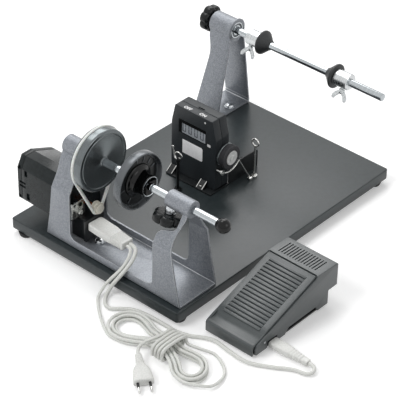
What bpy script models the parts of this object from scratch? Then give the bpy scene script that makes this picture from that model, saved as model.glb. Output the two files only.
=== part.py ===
"""Line spooling machine with a foot pedal.

A motor turns a spool between a driven disc and a live tail centre. The line comes off a bulk
spool on the supply rod, runs over the measuring wheel of the counter and through two guides.

All lengths below are millimetres in the bench frame: origin at the centre of the board's top,
X towards the tailstock, Y from the spindle to the supply stand, Z up. The empty named bench
carries that frame into the part's own one, whose origin is under the middle of the whole part.
"""
import math

import bmesh
import bpy
import numpy as np
from mathutils import Matrix, Vector

MM = 0.001
GAP = 0.3  # left between pieces that touch

# Board
BOARD_X = 343.0
BOARD_Y = 500.0
BOARD_T = 18.0
FOOT_H = 8.5
FLOOR_Z = -(BOARD_T + FOOT_H)
FOOT_SPOTS = {"front_left": (-150.0, -240.0), "front_right": (158.0, -232.0),
              "rear_left": (-150.0, 236.0), "rear_right": (158.0, 232.0)}
BRACKET_BOLT = (-28.0, -204.0)
STAND_BOLT = (-131.0, 211.0)
BOLT_HOLE_R = 3.4
BENCH_IN_PART = (-58.0, 0.0, -FLOOR_Z)

# Folded sheet of both stands
SHEET = 2.5
BRACKET_HALF = 40.5
BRACKET_KNEE = 92.0

# Spindle
DRIVE_Y = -200.0
DRIVE_Z = 150.0
SHAFT_R = 6.0
BORE_R = SHAFT_R + GAP
BUSH_R = 8.0
HEAD_X = (-93.0, -50.0)
TAIL_X = (110.5, 155.5)
PULLEY_R = 50.0
BELT_X = -36.0
BELT_R = 2.5
BELT_ON_PULLEY = 49.5
BELT_ON_MOTOR = 9.0
MOTOR_Z = 60.0
DISC_R = 45.0
CLAMP_X = 116.0
CLAMP_NUT_Z = 129.8  # end of the clamp's nut, before it is leant forward

# Supply stand and its rod
STAND_Y = 207.5
STAND_Z = 157.5
STAND_TUBE_X = (-162.0, -116.0)
BEARING_R = 14.0
BEARING_T = 8.0
ROD_X = (-178.0, 179.0)
COLLAR_R = 13.3
WING_TILT = math.radians(33)
CLAMP_TILT = math.radians(15)

# Counter
COUNTER_Y = (13.0, 44.0)
COUNTER_SPLIT = 28.0
WHEEL_YZ = (34.5, 61.0)
WHEEL_R = 20.0

# Pedal
PEDAL_X = (203.0, 297.0)
PEDAL_PIN = (-203.0, -10.0)
TREADLE_FRONT = (-226.0, -4.0)
TREADLE_KINK = (-88.0, 43.0)
TREADLE_RIBS = 17
RIB_FIRST, RIB_STEP, RIB_WIDE = 0.155, 0.046, 0.011  # shares of the treadle's slope
PIN_HOLE_R = 2.3
SPRING_CURLS = 5
SPRING_RISE = 43.8

# Cords
MAINS_R = 2.5
PEDAL_CORD_R = 3.1
HANK_CENTRE = (196.0, -299.0)
HANK_REACH = (104.0, 81.0)  # from the waist to the left and right ends
HANK_HALF = (31.0, 29.0)  # round ends
HANK_WAIST = 15.2
WAIST_LONG = 15.0  # each way, where the runs are level
HANK_STEP = 6.8  # from one loop to the next
HANK_CLIMB = 6.0
HANK_LIFT = 9.2  # of the waist over the floor
HANK_START = 0.1  # of the way round from the left tip
HANK_LOOPS = 4.572
HANK_TURNS_IN = 1.75
HANK_LOW = FLOOR_Z + MAINS_R + 0.1  # of the lowest loops' middle line
LOOP_POINTS = 24
SIDE_LOOP = 20.0
WRAP_START = 0.09
WRAP_TURNS = 4.16
WRAP_POINTS = 20
WRAP_FROM = 16.0  # right of the waist
WRAP_RISE = HANK_LIFT + HANK_CLIMB / 2
WRAP_PITCH = 6.1
WRAP_HALF = 24.2
WRAP_TALL = 12.0
PLUG_START = (180.4, -341.3, -13.0)
PLUG_TILT = 6.6
PLUG_ANGLE = -38.2


def clear_scene():
    for thing in list(bpy.data.objects):
        bpy.data.objects.remove(thing)


def finish(name, colour, roughness, metallic=0.0):
    """A Principled material from an sRGB hex colour."""
    look = bpy.data.materials.new(name)
    look.use_nodes = True
    shader = look.node_tree.nodes["Principled BSDF"]
    parts = [int(colour[i:i + 2], 16) / 255 for i in (1, 3, 5)]
    linear = [c / 12.92 if c <= 0.04045 else ((c + 0.055) / 1.055) ** 2.4 for c in parts]
    shader.inputs["Base Color"].default_value = (*linear, 1)
    shader.inputs["Roughness"].default_value = roughness
    shader.inputs["Metallic"].default_value = metallic
    look.diffuse_color = (*linear, 1)
    return look


def axis_empty(name, at, carrier=None):
    """An empty on a joint's axis, at a bench point."""
    empty = bpy.data.objects.new(name, None)
    bpy.context.scene.collection.objects.link(empty)
    empty["bench_mm"] = at
    if carrier is None:
        empty.location = Vector(BENCH_IN_PART) * MM
    else:
        empty.parent = carrier
        empty.location = (Vector(at) - Vector(carrier["bench_mm"])) * MM
    return empty


def place(body, name, look, at=(0.0, 0.0, 0.0), carrier=None):
    """Name a finished body, set its origin to a bench point and hang it on its carrier."""
    carrier = carrier or BENCH
    body.data.transform(Matrix.Scale(MM, 4) @ Matrix.Translation(-Vector(at)))
    body.data.shade_smooth()
    body.data.set_sharp_from_angle(angle=math.radians(35))
    body.name = name
    body.data.name = name
    body.data.materials.clear()
    material = finish(name, *look)
    body.data.materials.append(material)
    body.parent = carrier
    body.location = (Vector(at) - Vector(carrier["bench_mm"])) * MM
    return body


def along(axis, position, a, b):
    """The point at a position along an axis, with a and b its other two coordinates in order."""
    if axis == "x":
        return (position, a, b)
    if axis == "y":
        return (a, position, b)
    return (a, b, position)


def loft(rings, closed=False):
    """A body through rings of points. A ring of one point is a tip, and closed joins the ends."""
    shape = bmesh.new()
    rows = [[shape.verts.new(p) for p in ring] for ring in rings]
    followers = rows[1:] + rows[:1] if closed else rows[1:]
    for low, high in zip(rows, followers):
        count = max(len(low), len(high))
        for i in range(count):
            j = (i + 1) % count
            corners = (low[i % len(low)], low[j % len(low)], high[j % len(high)], high[i % len(high)])
            shape.faces.new(list(dict.fromkeys(corners)))
    if not closed:
        for row in (rows[0], rows[-1]):
            if len(row) > 2:
                shape.faces.new(row)
    bmesh.ops.recalc_face_normals(shape, faces=shape.faces)
    mesh = bpy.data.meshes.new("body")
    shape.to_mesh(mesh)
    shape.free()
    body = bpy.data.objects.new("body", mesh)
    bpy.context.scene.collection.objects.link(body)
    return body


def prism(outline, axis, low, high):
    """An outline in the plane square to an axis, pushed from low to high along it."""
    return loft([[along(axis, position, a, b) for a, b in outline] for position in (low, high)])


def box(low, high):
    (x0, y0, z0), (x1, y1, z1) = low, high
    return prism([(x0, y0), (x1, y0), (x1, y1), (x0, y1)], "z", z0, z1)


def circle(axis, position, centre, radius, sides):
    turns = [2 * math.pi * i / sides for i in range(sides)]
    a, b = centre
    return [along(axis, position, a + radius * math.cos(t), b + radius * math.sin(t)) for t in turns]


def lathe(profile, axis, centre, sides=32):
    """A turned body. Profile points are (position, radius), closed round a bore or ended at radius 0."""
    rings = []
    for position, radius in profile:
        if radius == 0:
            rings.append([along(axis, position, *centre)])
        else:
            rings.append(circle(axis, position, centre, radius, sides))
    return loft(rings, closed=profile[0][1] > 0)


def rod(axis, centre, radius, low, high, sides=24):
    return loft([circle(axis, position, centre, radius, sides) for position in (low, high)])


def lobed_knob(axis, centre, stations, radius, lobes, depth, bore=0.0):
    """A knob with round lobes. Stations are (position, share of the radius)."""
    sides = lobes * 6
    rings = []
    for position, share in stations:
        ring = []
        for i in range(sides):
            turn = 2 * math.pi * i / sides
            reach = share * (radius - depth * (1 - abs(math.cos(turn * lobes / 2)) ** 0.6))
            ring.append(along(axis, position, centre[0] + reach * math.cos(turn),
                              centre[1] + reach * math.sin(turn)))
        rings.append(ring)
    knob = loft(rings)
    if bore:
        cut(knob, rod(axis, centre, bore, stations[0][0] - 1, stations[-1][0] + 1))
    return knob


def wire(points, radius, sides=8):
    """A round bar along points, its rings carried from one to the next without twist."""
    path = [Vector(p) for p in points]
    heading = (path[1] - path[0]).normalized()
    side = heading.orthogonal().normalized()
    rings = []
    for i, centre in enumerate(path):
        ahead = path[min(i + 1, len(path) - 1)] - path[max(i - 1, 0)]
        turn = heading.rotation_difference(ahead.normalized())
        side = (turn @ side).normalized()
        heading = ahead.normalized()
        other = heading.cross(side)
        rings.append([centre + radius * (side * math.cos(t) + other * math.sin(t))
                      for t in (2 * math.pi * k / sides for k in range(sides))])
    return loft(rings)


def ring_wire(axis, centre, ring_radius, radius, turns=16, sides=6):
    """A closed ring of round bar about an axis, centre given as a point."""
    rings = []
    order = {"x": (1, 2), "y": (0, 2), "z": (0, 1)}[axis]
    for k in range(turns):
        t = 2 * math.pi * k / turns
        ring = []
        for m in range(sides):
            s = 2 * math.pi * m / sides
            reach = ring_radius + radius * math.cos(s)
            place_along = centre["xyz".index(axis)] + radius * math.sin(s)
            ring.append(along(axis, place_along, centre[order[0]] + reach * math.cos(t),
                              centre[order[1]] + reach * math.sin(t)))
        rings.append(ring)
    return loft(rings, closed=True)


def boolean(body, tool, operation):
    """Change body by tool with an exact Boolean, and use the tool up."""
    change = body.modifiers.new("change", "BOOLEAN")
    change.operation = operation
    change.solver = "EXACT"
    change.object = tool
    bpy.context.view_layer.update()
    evaluated = body.evaluated_get(bpy.context.evaluated_depsgraph_get())
    mesh = bpy.data.meshes.new_from_object(evaluated)
    body.modifiers.clear()
    body.data = mesh
    bpy.data.objects.remove(tool)
    return body


def cut(body, *tools):
    for tool in tools:
        boolean(body, tool, "DIFFERENCE")
    return body


def join(body, *tools):
    for tool in tools:
        boolean(body, tool, "UNION")
    return body


def arc(a, b, radius, start, end, steps=6):
    """Points of an arc, angles in degrees."""
    turns = [math.radians(start + (end - start) * i / steps) for i in range(steps + 1)]
    return [(a + radius * math.cos(t), b + radius * math.sin(t)) for t in turns]


def smooth_route(points, spacing):
    """Even points along a smooth curve through the points of a route."""
    knots = [Vector(p) for p in points]
    knots = [2 * knots[0] - knots[1], *knots, 2 * knots[-1] - knots[-2]]
    fine = []
    for p0, p1, p2, p3 in zip(knots, knots[1:], knots[2:], knots[3:]):
        for i in range(12):
            t = i / 12
            fine.append(0.5 * (2 * p1 + (p2 - p0) * t + (2 * p0 - 5 * p1 + 4 * p2 - p3) * t * t
                               + (3 * p1 - p0 - 3 * p2 + p3) * t ** 3))
    fine.append(knots[-2])
    reach = np.concatenate([[0], np.cumsum([(b - a).length for a, b in zip(fine, fine[1:])])])
    stops = np.linspace(0, reach[-1], round(reach[-1] / spacing) + 1)
    rows = np.array([tuple(p) for p in fine])
    return np.column_stack([np.interp(stops, reach, rows[:, i]) for i in range(3)])


def cord(points, radius, name, look, resolution=2):
    """A cord as a bevelled curve with closed ends, through points of the bench frame."""
    curve = bpy.data.curves.new(name, "CURVE")
    curve.dimensions = "3D"
    curve.bevel_depth = radius * MM
    curve.bevel_resolution = resolution
    curve.use_fill_caps = True
    spline = curve.splines.new("POLY")
    spline.points.add(len(points) - 1)
    for spot, (x, y, z) in zip(spline.points, points):
        spot.co = (x * MM, y * MM, z * MM, 1)
    spline.use_smooth = True
    curve.materials.append(finish(name, *look))
    body = bpy.data.objects.new(name, curve)
    bpy.context.scene.collection.objects.link(body)
    body.parent = BENCH
    return body


BLACK_BOARD = ("#23292b", 0.3)
RUBBER = ("#1b1b1c", 0.8)
HAMMERTONE = ("#8d9196", 0.45, 0.6)
STEEL = ("#c9ccce", 0.2, 1.0)
NICKEL = ("#c4c2b8", 0.3, 1.0)
BLACK_PLASTIC = ("#232628", 0.45)
GLOSS_BLACK = ("#15181a", 0.15)
WHITE_PLASTIC = ("#ececea", 0.4)
WHITE_CORD = ("#ececea", 0.5)
BRONZE = ("#a07a45", 0.35, 1.0)


def build_board():
    half_x, half_y = BOARD_X / 2, BOARD_Y / 2
    board = box((-half_x, -half_y, -BOARD_T), (half_x, half_y, 0))
    for x, y in (BRACKET_BOLT, STAND_BOLT):
        cut(board, rod("z", (x, y), BOLT_HOLE_R, -12, 5, 12))
    place(board, "base_board", BLACK_BOARD)
    for name, (x, y) in FOOT_SPOTS.items():
        profile = [(FLOOR_Z, 0), (FLOOR_Z, 9), (FLOOR_Z + 1, 10.5), (-BOARD_T - 2, 12),
                   (-BOARD_T - GAP, 12), (-BOARD_T - GAP, 0)]
        place(lathe(profile, "z", (x, y), 14), f"board_foot_{name}", RUBBER, (x, y, FLOOR_Z))


def folded_channel(centre_y, half, knee, top_half, top, low_x, high_x):
    """A channel folded from sheet: a floor and two walls that lean in above the knee."""
    lean = math.atan2(half - top_half, top - knee)
    inner_half = half - SHEET
    inner_knee = knee - SHEET * math.tan(lean / 2)
    inner_top = (top_half - SHEET * math.cos(lean), top - SHEET * math.sin(lean))
    right = [(half, GAP), (half, knee), (top_half, top), inner_top, (inner_half, inner_knee),
             (inner_half, GAP + SHEET)]
    left = [(-y, z) for y, z in reversed(right)]
    return prism([(centre_y + y, z) for y, z in right + left], "x", low_x, high_x)


def build_spindle_bracket():
    body = folded_channel(DRIVE_Y, BRACKET_HALF, BRACKET_KNEE, 10.2, 147.9, -110, 175)
    silhouette = [(-104, -1), (-96, 45), (-91, 90), (-90, 115), (-93, 135), (-93, 152), (-54, 152)]
    silhouette += arc(-42.5, 26, 11.5, 180, 270)
    silhouette += arc(101.5, 26, 11.5, 270, 360)
    silhouette += [(113.5, 98), (114.5, 106), (118, 111.5), (126, 115), (134, 117.5), (140, 119),
                   (143.4, 122), (144.8, 128), (146, 152), (154.5, 152), (153.5, 137), (150, 125),
                   (147, 115), (146, 106), (147, 97), (149.5, 87), (152, 72), (156, 49), (167, -1)]
    boolean(body, prism(silhouette, "y", DRIVE_Y - 50, DRIVE_Y + 50), "INTERSECT")
    axis = (DRIVE_Y, DRIVE_Z)
    join(body, rod("x", axis, 14.5, *HEAD_X, 32), rod("x", axis, 13.5, *TAIL_X, 28))
    join(body, to_clamp(rod("z", (CLAMP_X, DRIVE_Y), 8.5, CLAMP_NUT_Z, 142, 20)))
    cut(body, rod("x", axis, BUSH_R + GAP, HEAD_X[0] - 1, HEAD_X[1] + 1, 24))
    cut(body, rod("x", axis, SHAFT_R + 0.4, TAIL_X[0] - 6, TAIL_X[1] + 1, 24))
    cut(body, to_clamp(rod("z", (CLAMP_X, DRIVE_Y), 4.3, CLAMP_NUT_Z - 2, 150, 20)))
    cut(body, rod("z", BRACKET_BOLT, BOLT_HOLE_R, -2, 5, 12))
    place(body, "spindle_bracket", HAMMERTONE)
    place(dome_bolt(BRACKET_BOLT), "bracket_bolt", STEEL, (*BRACKET_BOLT, 0))


def to_clamp(body):
    """Lean a body that is drawn upright under the tail rod forward about the rod's axis."""
    rod_axis = Vector((0, DRIVE_Y, DRIVE_Z))
    body.data.transform(Matrix.Translation(rod_axis) @ Matrix.Rotation(-CLAMP_TILT, 4, "X")
                        @ Matrix.Translation(-rod_axis))
    return body


def dome_bolt(spot):
    """A dome headed bolt through a stand's floor into the board."""
    seat = 2 * GAP + SHEET
    profile = [(-10, 0), (-10, 3), (seat, 3), (seat, 9), (seat + 1.5, 9), (seat + 4, 6.5),
               (seat + 5, 3), (seat + 5.2, 0)]
    return lathe(profile, "z", spot, 12)


def build_drive():
    axis = (DRIVE_Y, DRIVE_Z)
    spin = axis_empty("drive_axis", (0, *axis), BENCH)
    low, high = HEAD_X
    bush = [(low - 2, BORE_R), (low - 2, 11), (low - GAP, 11), (low - GAP, BUSH_R),
            (high - 0.5, BUSH_R), (high - 0.5, BORE_R)]
    place(lathe(bush, "x", axis, 20), "head_bush", BRONZE, (low, *axis))
    shaft = [(-99, 0), (-99, 5), (-98, SHAFT_R), (59, SHAFT_R), (60, 5), (60, 0)]
    place(lathe(shaft, "x", axis, 20), "drive_shaft", STEEL, (0, *axis), spin)
    pulley = [(-42, BORE_R), (-42, 47), (-40.5, PULLEY_R), (-39, PULLEY_R), (-38.1, 47.8),
              (-37, 46.4), (-35, 46.4), (-33.9, 47.8), (-33, PULLEY_R), (-24, PULLEY_R),
              (-22, 49.4), (-21, 47.5), (-21, 44), (-21.6, 43.2), (-21, 42.4), (-21, 9), (-20, 7.8),
              (-18, 7.6), (-18, BORE_R)]
    place(lathe(pulley, "x", axis, 32), "drive_pulley", ("#3a4144", 0.25, 0.5), (BELT_X, *axis), spin)
    disc = lathe([(43, BORE_R), (43, 41.6), (40.5, 42.3), (40.5, 44), (41.6, DISC_R), (53.2, DISC_R),
                  (54.5, 43.8), (54.5, 42.6), (47, 41.8), (47, BORE_R)], "x", axis, 32)
    place(disc, "spool_disc", ("#3c3f41", 0.5), (43, *axis), spin)
    hub = [(47 + GAP, BORE_R), (47 + GAP, 26), (48.8, 26), (50, 24.4), (51.4, 19.6), (55, 17), (60, 16),
           (66, 16), (70, 16.4), (72, 16.4), (72, 13), (70, 9.5), (63, 7.5), (63, BORE_R)]
    place(lathe(hub, "x", axis, 20), "disc_hub", GLOSS_BLACK, (60, *axis), spin)
    place(build_belt(), "drive_belt", ("#e6e8e3", 0.6), (BELT_X, DRIVE_Y, MOTOR_Z))


def build_belt():
    """A round belt on the two straight flights and two wraps between the pulleys."""
    lean = math.asin((BELT_ON_PULLEY - BELT_ON_MOTOR) / (DRIVE_Z - MOTOR_Z))
    upper = np.linspace(-lean, math.pi + lean, 21)
    lower = np.linspace(math.pi + lean, 2 * math.pi - lean, 7)
    stops = [(DRIVE_Z, BELT_ON_PULLEY, t) for t in upper] + [(MOTOR_Z, BELT_ON_MOTOR, t) for t in lower]
    rings = []
    for centre_z, radius, t in stops:
        ring = []
        for k in range(6):
            s = 2 * math.pi * k / 6
            reach = radius + BELT_R * math.cos(s)
            ring.append((BELT_X + BELT_R * math.sin(s), DRIVE_Y + reach * math.cos(t),
                         centre_z + reach * math.sin(t)))
        rings.append(ring)
    return loft(rings, closed=True)


def at_drive(outline):
    """An outline drawn about the drive's plane, moved to its place."""
    return [(DRIVE_Y + y, z) for y, z in outline]


def build_motor():
    foot = [(-36.5, 34), (-35.5, 33), (35.5, 33), (36.5, 34), (36.5, 90)]
    full = at_drive(foot + [(30, 93), (-8, 109), (-26.5, 109), (-36.5, 90)])
    room = at_drive([(-33, 36), (33, 36), (33, 87), (28.5, 90), (-8.7, 105.5), (-24.3, 105.5), (-33, 89)])
    case = prism(full, "x", -158, -66)
    cut(case, prism(room, "x", -160, -69))
    cut(case, rod("x", (DRIVE_Y, MOTOR_Z), 3.3, -72, -60, 16))
    for k in range(4):
        z = 52 + 9 * k
        cut(case, box((-154, DRIVE_Y - 40, z), (-140, DRIVE_Y - 30, z + 3)))
    place(case, "motor_case", ("#15191b", 0.35))
    cover_steps = ((-158.3, 1.0), (-165.5, 1.0), (-168, 0.94))
    middle = 74.0
    rings = [[(x, DRIVE_Y + (y - DRIVE_Y) * share, middle + (z - middle) * share) for y, z in full]
             for x, share in cover_steps]
    place(loft(rings), "motor_end_cover", ("#1b1f21", 0.4))
    axis = (DRIVE_Y, MOTOR_Z)
    stator = [(-140, 18), (-140, 23), (-95, 23), (-95, 18)]
    place(lathe(stator, "x", axis, 20), "motor_stator", ("#6d6f70", 0.5, 0.8), (-118, *axis))
    rotor = [(-152, 0), (-152, 3), (-138, 3), (-138, 17), (-98, 17), (-98, 3), (-92, 3), (-92, 7),
             (-80, 7), (-80, 3), (-33, 3), (-33, 0)]
    spin = axis_empty("motor_axis", (-118, *axis), BENCH)
    place(lathe(rotor, "x", axis, 12), "motor_rotor", ("#8a5a34", 0.4, 0.8), (-118, *axis), spin)
    pulley = [(-32.7, 0), (-32.7, 3.3), (-41, 3.3), (-41, 9.5), (-38.9, 9.5), (-38.1, 7.3),
              (-37, 6.1), (-35, 6.1), (-33.9, 7.3), (-33.1, 9.5), (-31.5, 9.5), (-31.5, 7.3),
              (-28.8, 7.3), (-28, 6.4), (-28, 0)]
    place(lathe(pulley, "x", axis, 14), "motor_pulley", ("#e4e0d2", 0.45), (BELT_X, *axis), spin)
    mount = box((-53.7, -237.7, 47), (-51.5, -211, 76))
    join(mount, box((-65.7, -237.7, 47), (-51.5, -235.5, 76)))
    cut(mount, rod("x", (-219, 68), 4, -56, -49, 16))
    join(mount, rod("x", (-221, 55), 4.5, -52, -48, 6))
    place(mount, "motor_mount", NICKEL)
    socket = box((-65.7, -224, 9), (-35.5, -190, 47))
    join(socket, box((-38.5, -227, 9), (-35.5, -187, 47)))
    place(socket, "machine_socket", BLACK_PLASTIC)


def build_tailstock():
    axis = (DRIVE_Y, DRIVE_Z)
    slide = axis_empty("tail_slide", (76.3, *axis), BENCH)
    spin = axis_empty("nose_axis", (71, *axis), slide)
    bar = [(70.4, 0), (70.4, 2.5), (76.3, 2.5), (76.3, SHAFT_R), (205.5, SHAFT_R), (206.5, 5),
           (206.5, 0)]
    place(lathe(bar, "x", axis, 20), "tail_rod", STEEL, (76.3, *axis), slide)
    nose = [(65.5, 0), (65.9, 1.6), (68.5, 4.4), (71.5, 5.9), (76, 5.9), (76, 2.8), (70, 2.8), (70, 0)]
    place(lathe(nose, "x", axis, 16), "tail_nose", STEEL, (71, *axis), spin)
    ball = [(207, 0), (207, BORE_R), (200.6, BORE_R), (200.6, 7.2)]
    ball += [(211 + 11 * math.sin(t), 11 * math.cos(t)) for t in np.linspace(-0.72, 1.35, 9)]
    ball += [(222, 0)]
    place(lathe(ball, "x", axis, 16), "ball_knob", GLOSS_BLACK, (211, *axis), slide)
    stations = ((113.5, 0.82), (116, 1.0), (124, 1.0), (127, 0.95), (128.6, 0.82))
    knob = lobed_knob("z", (CLAMP_X, DRIVE_Y), stations, 25, 6, 4.5)
    join(knob, rod("z", (CLAMP_X, DRIVE_Y), 4, 125, 143.4, 20))
    join(knob, rod("z", (CLAMP_X, DRIVE_Y), 8, 126, CLAMP_NUT_Z - GAP, 20))
    reach = DRIVE_Z - 121
    heart = (CLAMP_X, DRIVE_Y - reach * math.sin(CLAMP_TILT), DRIVE_Z - reach * math.cos(CLAMP_TILT))
    turn = axis_empty("clamp_axis", heart, BENCH)
    place(to_clamp(knob), "clamp_knob", BLACK_PLASTIC, heart, turn)


def build_supply_stand():
    axis = (STAND_Y, STAND_Z)
    body = folded_channel(STAND_Y, BRACKET_HALF, 8, 15.2, 158, -175, -110)
    head = [(-152, 115), (-159, 140), (-159, 165), (-116, 165), (-116, 115), (-119, -1)]
    front = prism([(-170, -1)] + head, "y", STAND_Y - 50, STAND_Y)
    rear = prism([(-170, -1), (-168, 50), (-161, 90)] + head, "y", STAND_Y - 1, STAND_Y + 50)
    boolean(body, join(front, rear), "INTERSECT")
    low, high = STAND_TUBE_X
    join(body, rod("x", axis, 17.3, low, high, 32), rod("x", axis, 19.6, high - 3, high, 32))
    cut(body, rod("x", axis, 11, low - 1, high + 1, 24))
    seat_r, seat_deep = BEARING_R + GAP, BEARING_T + 0.5
    cut(body, rod("x", axis, seat_r, low - 1, low + seat_deep, 24))
    cut(body, rod("x", axis, seat_r, high - seat_deep, high + 1, 24))
    cut(body, rod("z", STAND_BOLT, BOLT_HOLE_R, -2, 5, 12))
    place(body, "supply_stand", HAMMERTONE)
    place(dome_bolt(STAND_BOLT), "stand_bolt", STEEL, (*STAND_BOLT, 0))
    for side, start in (("left", low + 0.2), ("right", high - BEARING_T - 0.2)):
        ring = [(start, BORE_R), (start, BEARING_R), (start + BEARING_T, BEARING_R),
                (start + BEARING_T, BORE_R)]
        place(lathe(ring, "x", axis, 20), f"stand_bearing_{side}", STEEL, (start, *axis))


def build_supply_rod():
    axis = (STAND_Y, STAND_Z)
    spin = axis_empty("supply_axis", (0, *axis), BENCH)
    bar = [(ROD_X[0], 0), (ROD_X[0], SHAFT_R), (ROD_X[1] - 1, SHAFT_R), (ROD_X[1], 5), (ROD_X[1], 0)]
    place(lathe(bar, "x", axis, 20), "supply_rod", STEEL, (0, *axis), spin)
    stations = ((-181, 0.8), (-178.5, 1.0), (-169, 1.0), (-166.5, 0.95), (-165, 0.8))
    knob = lobed_knob("x", axis, stations, 22.5, 7, 3.5, BORE_R)
    place(knob, "brake_knob", BLACK_PLASTIC, (-173, *axis), axis_empty("brake_axis", (-173, *axis), spin))
    build_spool_holder("left", spin, collar=(-89, -63), cone=(-63 + GAP, -45), screw_x=-80)
    build_spool_holder("right", spin, collar=(89 + GAP, 116), cone=(89, 72), screw_x=107)


def build_spool_holder(side, spin, collar, cone, screw_x):
    """A collar that slides on the rod, the cone that it pushes and its wing screw."""
    axis = (STAND_Y, STAND_Z)
    low, high = collar
    slide = axis_empty(f"holder_{side}", ((low + high) / 2, *axis), spin)
    ring = lathe([(low, BORE_R), (low, 12.3), (low + 1, COLLAR_R), (high - 1, COLLAR_R),
                  (high, 12.3), (high, BORE_R)], "x", axis, 20)
    down = Vector((0, -math.sin(WING_TILT), -math.cos(WING_TILT)))
    heart = Vector((screw_x, *axis))
    cut(ring, wire([heart + down * 3, heart + down * 20], 3.3, 16))
    place(ring, f"collar_{side}", ("#b9bbbc", 0.3, 1.0), ((low + high) / 2, *axis), slide)
    rim, tip = cone
    step = 1 if tip > rim else -1
    profile = [(rim, BORE_R), (rim, 19.2), (rim + 0.8 * step, 20), (rim + 3 * step, 20),
               (rim + 5 * step, 18.4), (tip - 2 * step, 9), (tip, 8), (tip, BORE_R)]
    place(lathe(profile, "x", axis, 20), f"cone_{side}", ("#2f3133", 0.5), (rim, *axis), slide)
    turn = axis_empty(f"wing_axis_{side}", tuple(heart), slide)
    screw = wire([heart + down * 6.4, heart + down * 20], 3, 12)
    join(screw, wire([heart + down * 14.2, heart + down * 22], 4.8, 12))
    across = down.cross(Vector((1, 0, 0)))
    for hand in (-1, 1):
        outline = [(1, 16), (4, 16), (10, 22), (13.5, 27), (12.8, 32), (9.5, 32.5), (6, 27), (1, 21.5)]
        rings = []
        for thick in (-1.4, 1.4):
            rings.append([heart + down * r + Vector((hand * w, 0, 0)) + across * thick for w, r in outline])
        join(screw, loft(rings))
    place(screw, f"wing_screw_{side}", STEEL, tuple(heart), turn)


def build_counter():
    front_y, rear_y = COUNTER_Y
    outer = [(-81, 2.8), (11, 2.8), (11, 94), (3, 126), (-74, 126), (-81, 94)]
    inner = [(-78.5, 5.3), (8.5, 5.3), (8.5, 93.7), (1, 123.5), (-72, 123.5), (-78.5, 93.7)]
    front = prism(outer, "y", front_y, COUNTER_SPLIT)
    cut(front, prism(inner, "y", front_y + SHEET, COUNTER_SPLIT + 1))
    cut(front, box((-66, front_y - 1, 79), (-9.5, front_y + 4, 104)))
    place(front, "counter_front", BLACK_PLASTIC)
    rear = prism(outer, "y", COUNTER_SPLIT + GAP, rear_y)
    cut(rear, prism(inner, "y", COUNTER_SPLIT - 1, rear_y - SHEET))
    cut(rear, rod("x", WHEEL_YZ, 3.3, 5, 15, 16), box((-41.4, 30, 120), (-28.6, 33, 130)))
    place(rear, "counter_rear", BLACK_PLASTIC)
    window = box((-65.7, front_y + 0.9, 79.3), (-9.8, front_y + 2.4, 103.7))
    place(window, "counter_window", ("#8a8e94", 0.1))
    board = join(box((-74, 20, 8), (4, 21.6, 92)), box((-64, 17, 80), (-12, 20.5, 91.5)))
    place(board, "counter_board", ("#2c6b3e", 0.5))
    slider = join(box((-43, 29, 120.5), (-33, 34, 123.2)), box((-41, 30.4, 122), (-35, 32.6, 129)))
    slide_at = (-38, 31.5, 126)
    place(slider, "switch_slider", ("#d8d8d6", 0.4), slide_at, axis_empty("switch_slide", slide_at, BENCH))
    cradle = join(box((-80, -1, GAP), (14, 46, 2.5)), box((-20, 45, GAP), (14, 113, 2.5)))
    join(cradle, box((11.3, 44.5, 1), (13.5, 113, 35)))
    for low, high in ((-80, -68), (-17, -4)):
        join(cradle, prism([(-1, 0.6), (2, 0.6), (12.7, 11), (12.7, 13.5)], "x", low, high))
    place(cradle, "counter_bracket", ("#2a2d2f", 0.35, 0.3))


def build_measuring_wheel():
    spin = axis_empty("wheel_axis", (11, *WHEEL_YZ), BENCH)
    wheel = [(-6, 0), (-6, 3), (11.3, 3), (11.3, WHEEL_R), (15, WHEEL_R), (15, 12), (27, 12),
             (27, 5), (28, 4.5), (28, 0)]
    place(lathe(wheel, "x", WHEEL_YZ, 20), "measuring_wheel", ("#dcdcda", 0.35), (11, *WHEEL_YZ), spin)
    tyre = [(15 + GAP, 12 + GAP), (15 + GAP, 19.3), (16, WHEEL_R), (25.4, WHEEL_R), (26, 19.3),
            (26, 12 + GAP)]
    place(lathe(tyre, "x", WHEEL_YZ, 20), "wheel_tyre", ("#3a3a3e", 0.8), (20, *WHEEL_YZ), spin)
    y, z = WHEEL_YZ
    bow = [(22, a, b) for a, b in arc(y, z, 27.3, 230, 322, 12)]
    guard = wire(bow + [(24, 62, 33), (27, 71, 15), (29, 77, 4)], 1.2)
    join(guard, rod("x", bow[0][1:], 2.2, 11.3, 24, 12), rod("z", (29, 77), 5, GAP, 5, 6))
    place(guard, "line_guard", NICKEL)


def build_guides():
    post = rod("z", (-35, -22), 2.2, GAP, 62, 12)
    join(post, rod("z", (-35, -22), 6, GAP, 4, 12), rod("z", (-35, -22), 3.6, 54, 60, 12))
    pigtail = [(-35, -22, 57)]
    pigtail += [(-32.6 + 6 * math.sin(t), -22 - 2.2 * t / math.pi, 67 - 6 * math.cos(t))
                for t in np.linspace(0, 1.9 * math.pi, 14)]
    pigtail += [(-37.6, -26.6, 63), (-40, -27, 70), (-41.5, -27, 83)]
    join(post, wire(pigtail, 1.3, 5))
    place(post, "front_guide", ("#3a3c3d", 0.3, 0.8))
    stem = rod("z", (29.3, 86.8), 1.8, GAP, 58, 12)
    join(stem, rod("z", (29.3, 86.8), 5, GAP, 4, 6))
    join(stem, ring_wire("y", (29.3, 86.8, 65), 6.4, 1.4))
    place(stem, "rear_guide", STEEL)


def on_treadle(share, drop=0.0):
    """A point of the treadle's upper line in the YZ plane, dropped square to it."""
    (y0, z0), (y1, z1) = TREADLE_FRONT, TREADLE_KINK
    length = math.hypot(y1 - y0, z1 - z0)
    normal = (-(z1 - z0) / length, (y1 - y0) / length)
    return (y0 + (y1 - y0) * share - normal[0] * drop, z0 + (z1 - z0) * share - normal[1] * drop)


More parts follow.
